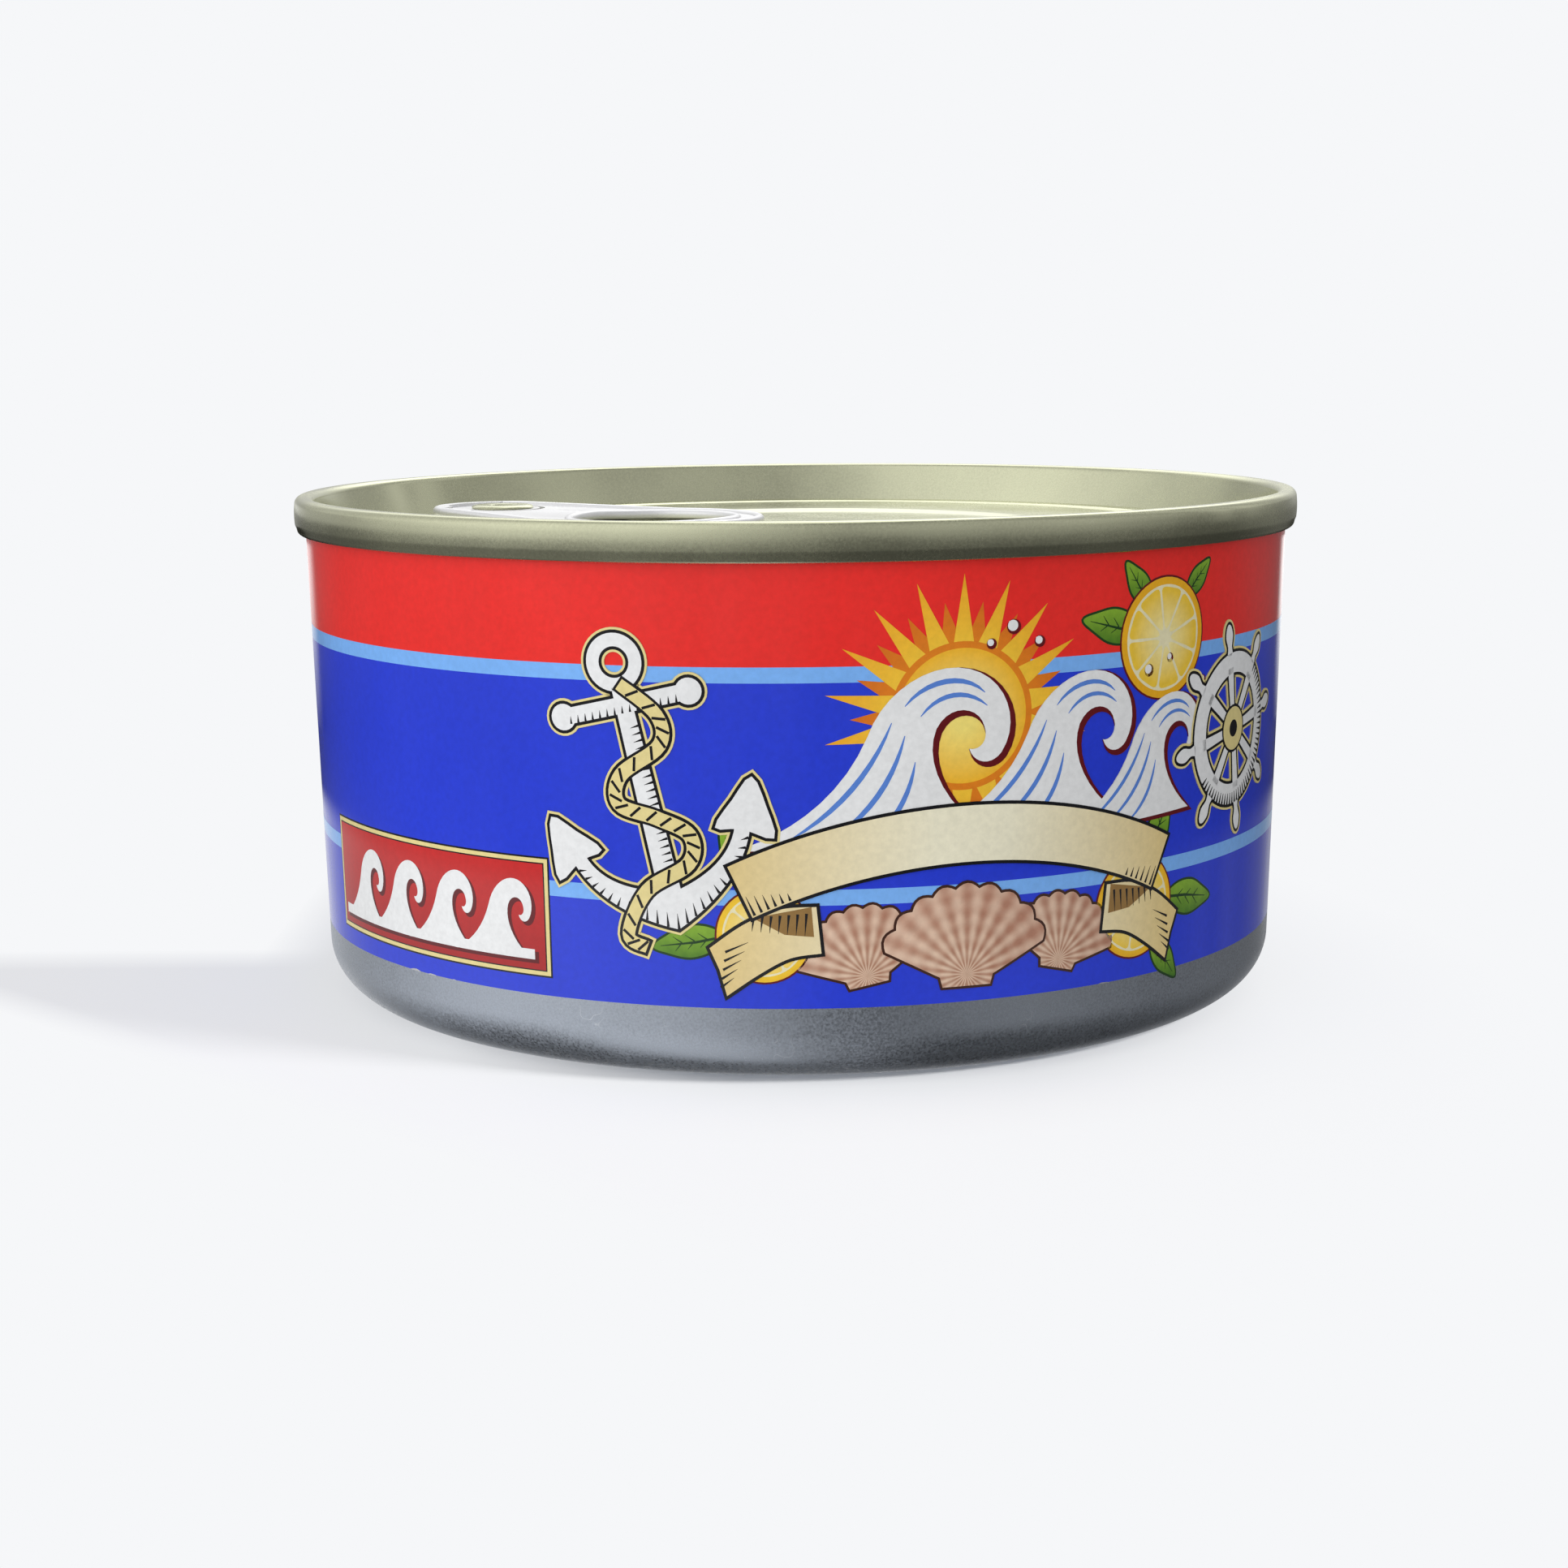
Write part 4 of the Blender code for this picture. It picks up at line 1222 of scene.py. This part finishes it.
printed = bpy.data.collections.new("printed_wall")
for piece in bpy.data.objects:
    if piece is cup or piece.name.startswith("print_"):
        printed.objects.link(piece)
GLARE = [(0.0, 0.0), (0.3, 0.6), (0.6, 0.9), (0.8, 0.9), (1.0, 0.7)]
for name, start, end, strength in (
    ("left_card", (-71.0, 38.0), (-50.0, 68.0), 1.8),
    ("right_card", (68.0, 42.0), (46.0, 71.0), 3.0),
):
    deselect()
    bpy.ops.mesh.primitive_plane_add(size=1.0)
    card = bpy.context.object
    card.name = card.data.name = name
    corners = [(*start, 14.0), (*end, 14.0), (*start, 34.0), (*end, 34.0)]
    for vertex, corner in zip(card.data.vertices, corners):
        vertex.co = Vector(corner) * MM
    card_paint, tree, shader = new_material(name + "_paint")
    tree.nodes.remove(shader)
    card_light = add_node(tree, "ShaderNodeEmission")
    spot = add_node(tree, "ShaderNodeSeparateXYZ")
    tree.links.new(add_node(tree, "ShaderNodeTexCoord").outputs["Object"], spot.inputs[0])
    along = spread_over(tree, spot.outputs["X"], start[0] * MM, end[0] * MM)
    glare = ramp_of(tree, along, 0.0, 1.0, GLARE, 1.0)
    upward = spread_over(tree, spot.outputs["Z"], 0.015, 0.031, 0.12 * strength, strength)
    glare = maths(tree, "MULTIPLY", glare, upward)
    tree.links.new(glare, card_light.inputs["Strength"])
    tree.links.new(card_light.outputs[0], tree.nodes["Material Output"].inputs["Surface"])
    card.data.materials.append(card_paint)
    card.light_linking.receiver_collection = printed
    mirror_only(card)

FLOOR_TONE = 0.30
SUN_HEIGHT = 30.0
SUN_POWER = 3.2
deselect()
bpy.ops.mesh.primitive_circle_add(vertices=96, radius=1.5, fill_type="NGON")
floor = bpy.context.object
floor.name = floor.data.name = "floor"
floor.visible_glossy = False
floor.visible_diffuse = False
floor_paint, tree, shader = new_material("floor_paint")
tree.nodes.remove(shader)
output = tree.nodes["Material Output"]
place = add_node(tree, "ShaderNodeTexCoord").outputs["Object"]
spot = add_node(tree, "ShaderNodeSeparateXYZ")
tree.links.new(place, spot.inputs[0])
# Painted shade on the floor: the lamps cast the shadows, but this mask sets by position where they show and how deep
# they are. The shadow to the left is cut to a wedge and the shade under the can's front is deepened. Where the mask is
# nought, the floor glows evenly pale.
from_shadow = add_node(tree, "ShaderNodeVectorMath", operation="DISTANCE")
tree.links.new(place, from_shadow.inputs[0])
from_shadow.inputs[1].default_value = (-0.040, -0.010, 0.0)
near = spread_over(tree, from_shadow.outputs["Value"], 0.066, 0.102, 1.0, 0.0)
left = spread_over(tree, spot.outputs["X"], -0.050, -0.043, 1.0, 0.0)
back = spread_over(tree, spot.outputs["Y"], -0.0015, 0.006)
floor_shade_mask = maths(tree, "MULTIPLY", near, maths(tree, "SUBTRACT", 1.0, maths(tree, "MULTIPLY", left, back)))
slanting = maths(tree, "MULTIPLY_ADD", spot.outputs["X"], 0.967, spot.outputs["Y"])
floor_shade_mask = maths(tree, "MULTIPLY", floor_shade_mask, spread_over(tree, slanting, -0.0825, -0.0755))
from_can = add_node(tree, "ShaderNodeVectorMath", operation="LENGTH")
tree.links.new(place, from_can.inputs[0])
under = spread_over(tree, from_can.outputs["Value"], 0.043, 0.056, 1.3, 0.0)
sideways = maths(tree, "ABSOLUTE", maths(tree, "SUBTRACT", spot.outputs["X"], 0.006))
under = maths(tree, "MULTIPLY", under, spread_over(tree, sideways, 0.012, 0.034, 1.0, 0.0))
floor_shade_mask = maths(tree, "ADD", floor_shade_mask, under)
tone = maths(tree, "MULTIPLY", floor_shade_mask, FLOOR_TONE)
lean = SOFT_FROM.z
beam_light = 0.25 + lean / 3 + 0.078 * (1.5 * lean * lean - 0.5)
sun_light = SUN_POWER * math.sin(math.radians(SUN_HEIGHT)) / math.pi
full_light = SOFT_ALL_ROUND + SOFT_BEAM * beam_light + sun_light
diffuse = add_node(tree, "ShaderNodeBsdfDiffuse")
glow = add_node(tree, "ShaderNodeEmission")
tree.links.new(blend_colours(tree, tone, (0.0, 0.0, 0.0, 1.0), (1.0, 1.0, 1.0, 1.0)), diffuse.inputs["Color"])
glow_colour = add_node(tree, "ShaderNodeVectorMath", operation="MULTIPLY_ADD")
tree.links.new(tone, glow_colour.inputs[0])
glow_colour.inputs[1].default_value = (-full_light,) * 3
glow_colour.inputs[2].default_value = PALE
tree.links.new(glow_colour.outputs[0], glow.inputs["Color"])
lit = add_node(tree, "ShaderNodeAddShader")
tree.links.new(diffuse.outputs[0], lit.inputs[0])
tree.links.new(glow.outputs[0], lit.inputs[1])
tree.links.new(lit.outputs[0], output.inputs["Surface"])
floor.data.materials.append(floor_paint)

sun_data = bpy.data.lights.new("low_light", "SUN")
sun_data.energy = SUN_POWER
sun_data.angle = math.radians(14)
sun = bpy.data.objects.new("low_light", sun_data)
sun_way = Vector((1.0, -0.38, math.hypot(1.0, 0.38) * math.tan(math.radians(SUN_HEIGHT))))
sun.rotation_euler = sun_way.to_track_quat("Z", "Y").to_euler()
bpy.context.scene.collection.objects.link(sun)
floor_only = bpy.data.collections.new("floor_only")
floor_only.objects.link(floor)
sun.light_linking.receiver_collection = floor_only

camera_data = bpy.data.cameras.new("camera")
camera_data.sensor_width = 36.0
camera_data.lens = 3275.4 / 1932 * 36.0
camera_data.clip_start = 0.01
camera_data.clip_end = 20.0
camera = bpy.data.objects.new("camera", camera_data)
bpy.context.scene.collection.objects.link(camera)
bpy.context.scene.camera = camera
camera.location = (0.0, -0.2361, 0.0564)
YAW, PITCH, ROLL = -0.00507, 0.1683, -0.009
sight = Vector((math.sin(YAW) * math.cos(PITCH), math.cos(YAW) * math.cos(PITCH), -math.sin(PITCH)))
right = Vector((math.cos(YAW), -math.sin(YAW), 0.0))
up = right.cross(sight)
across = right * math.cos(ROLL) + up * math.sin(ROLL)
upwards = up * math.cos(ROLL) - right * math.sin(ROLL)
camera.rotation_euler = Matrix((across, upwards, -sight)).transposed().to_euler()

bpy.context.scene.view_settings.view_transform = "Standard"
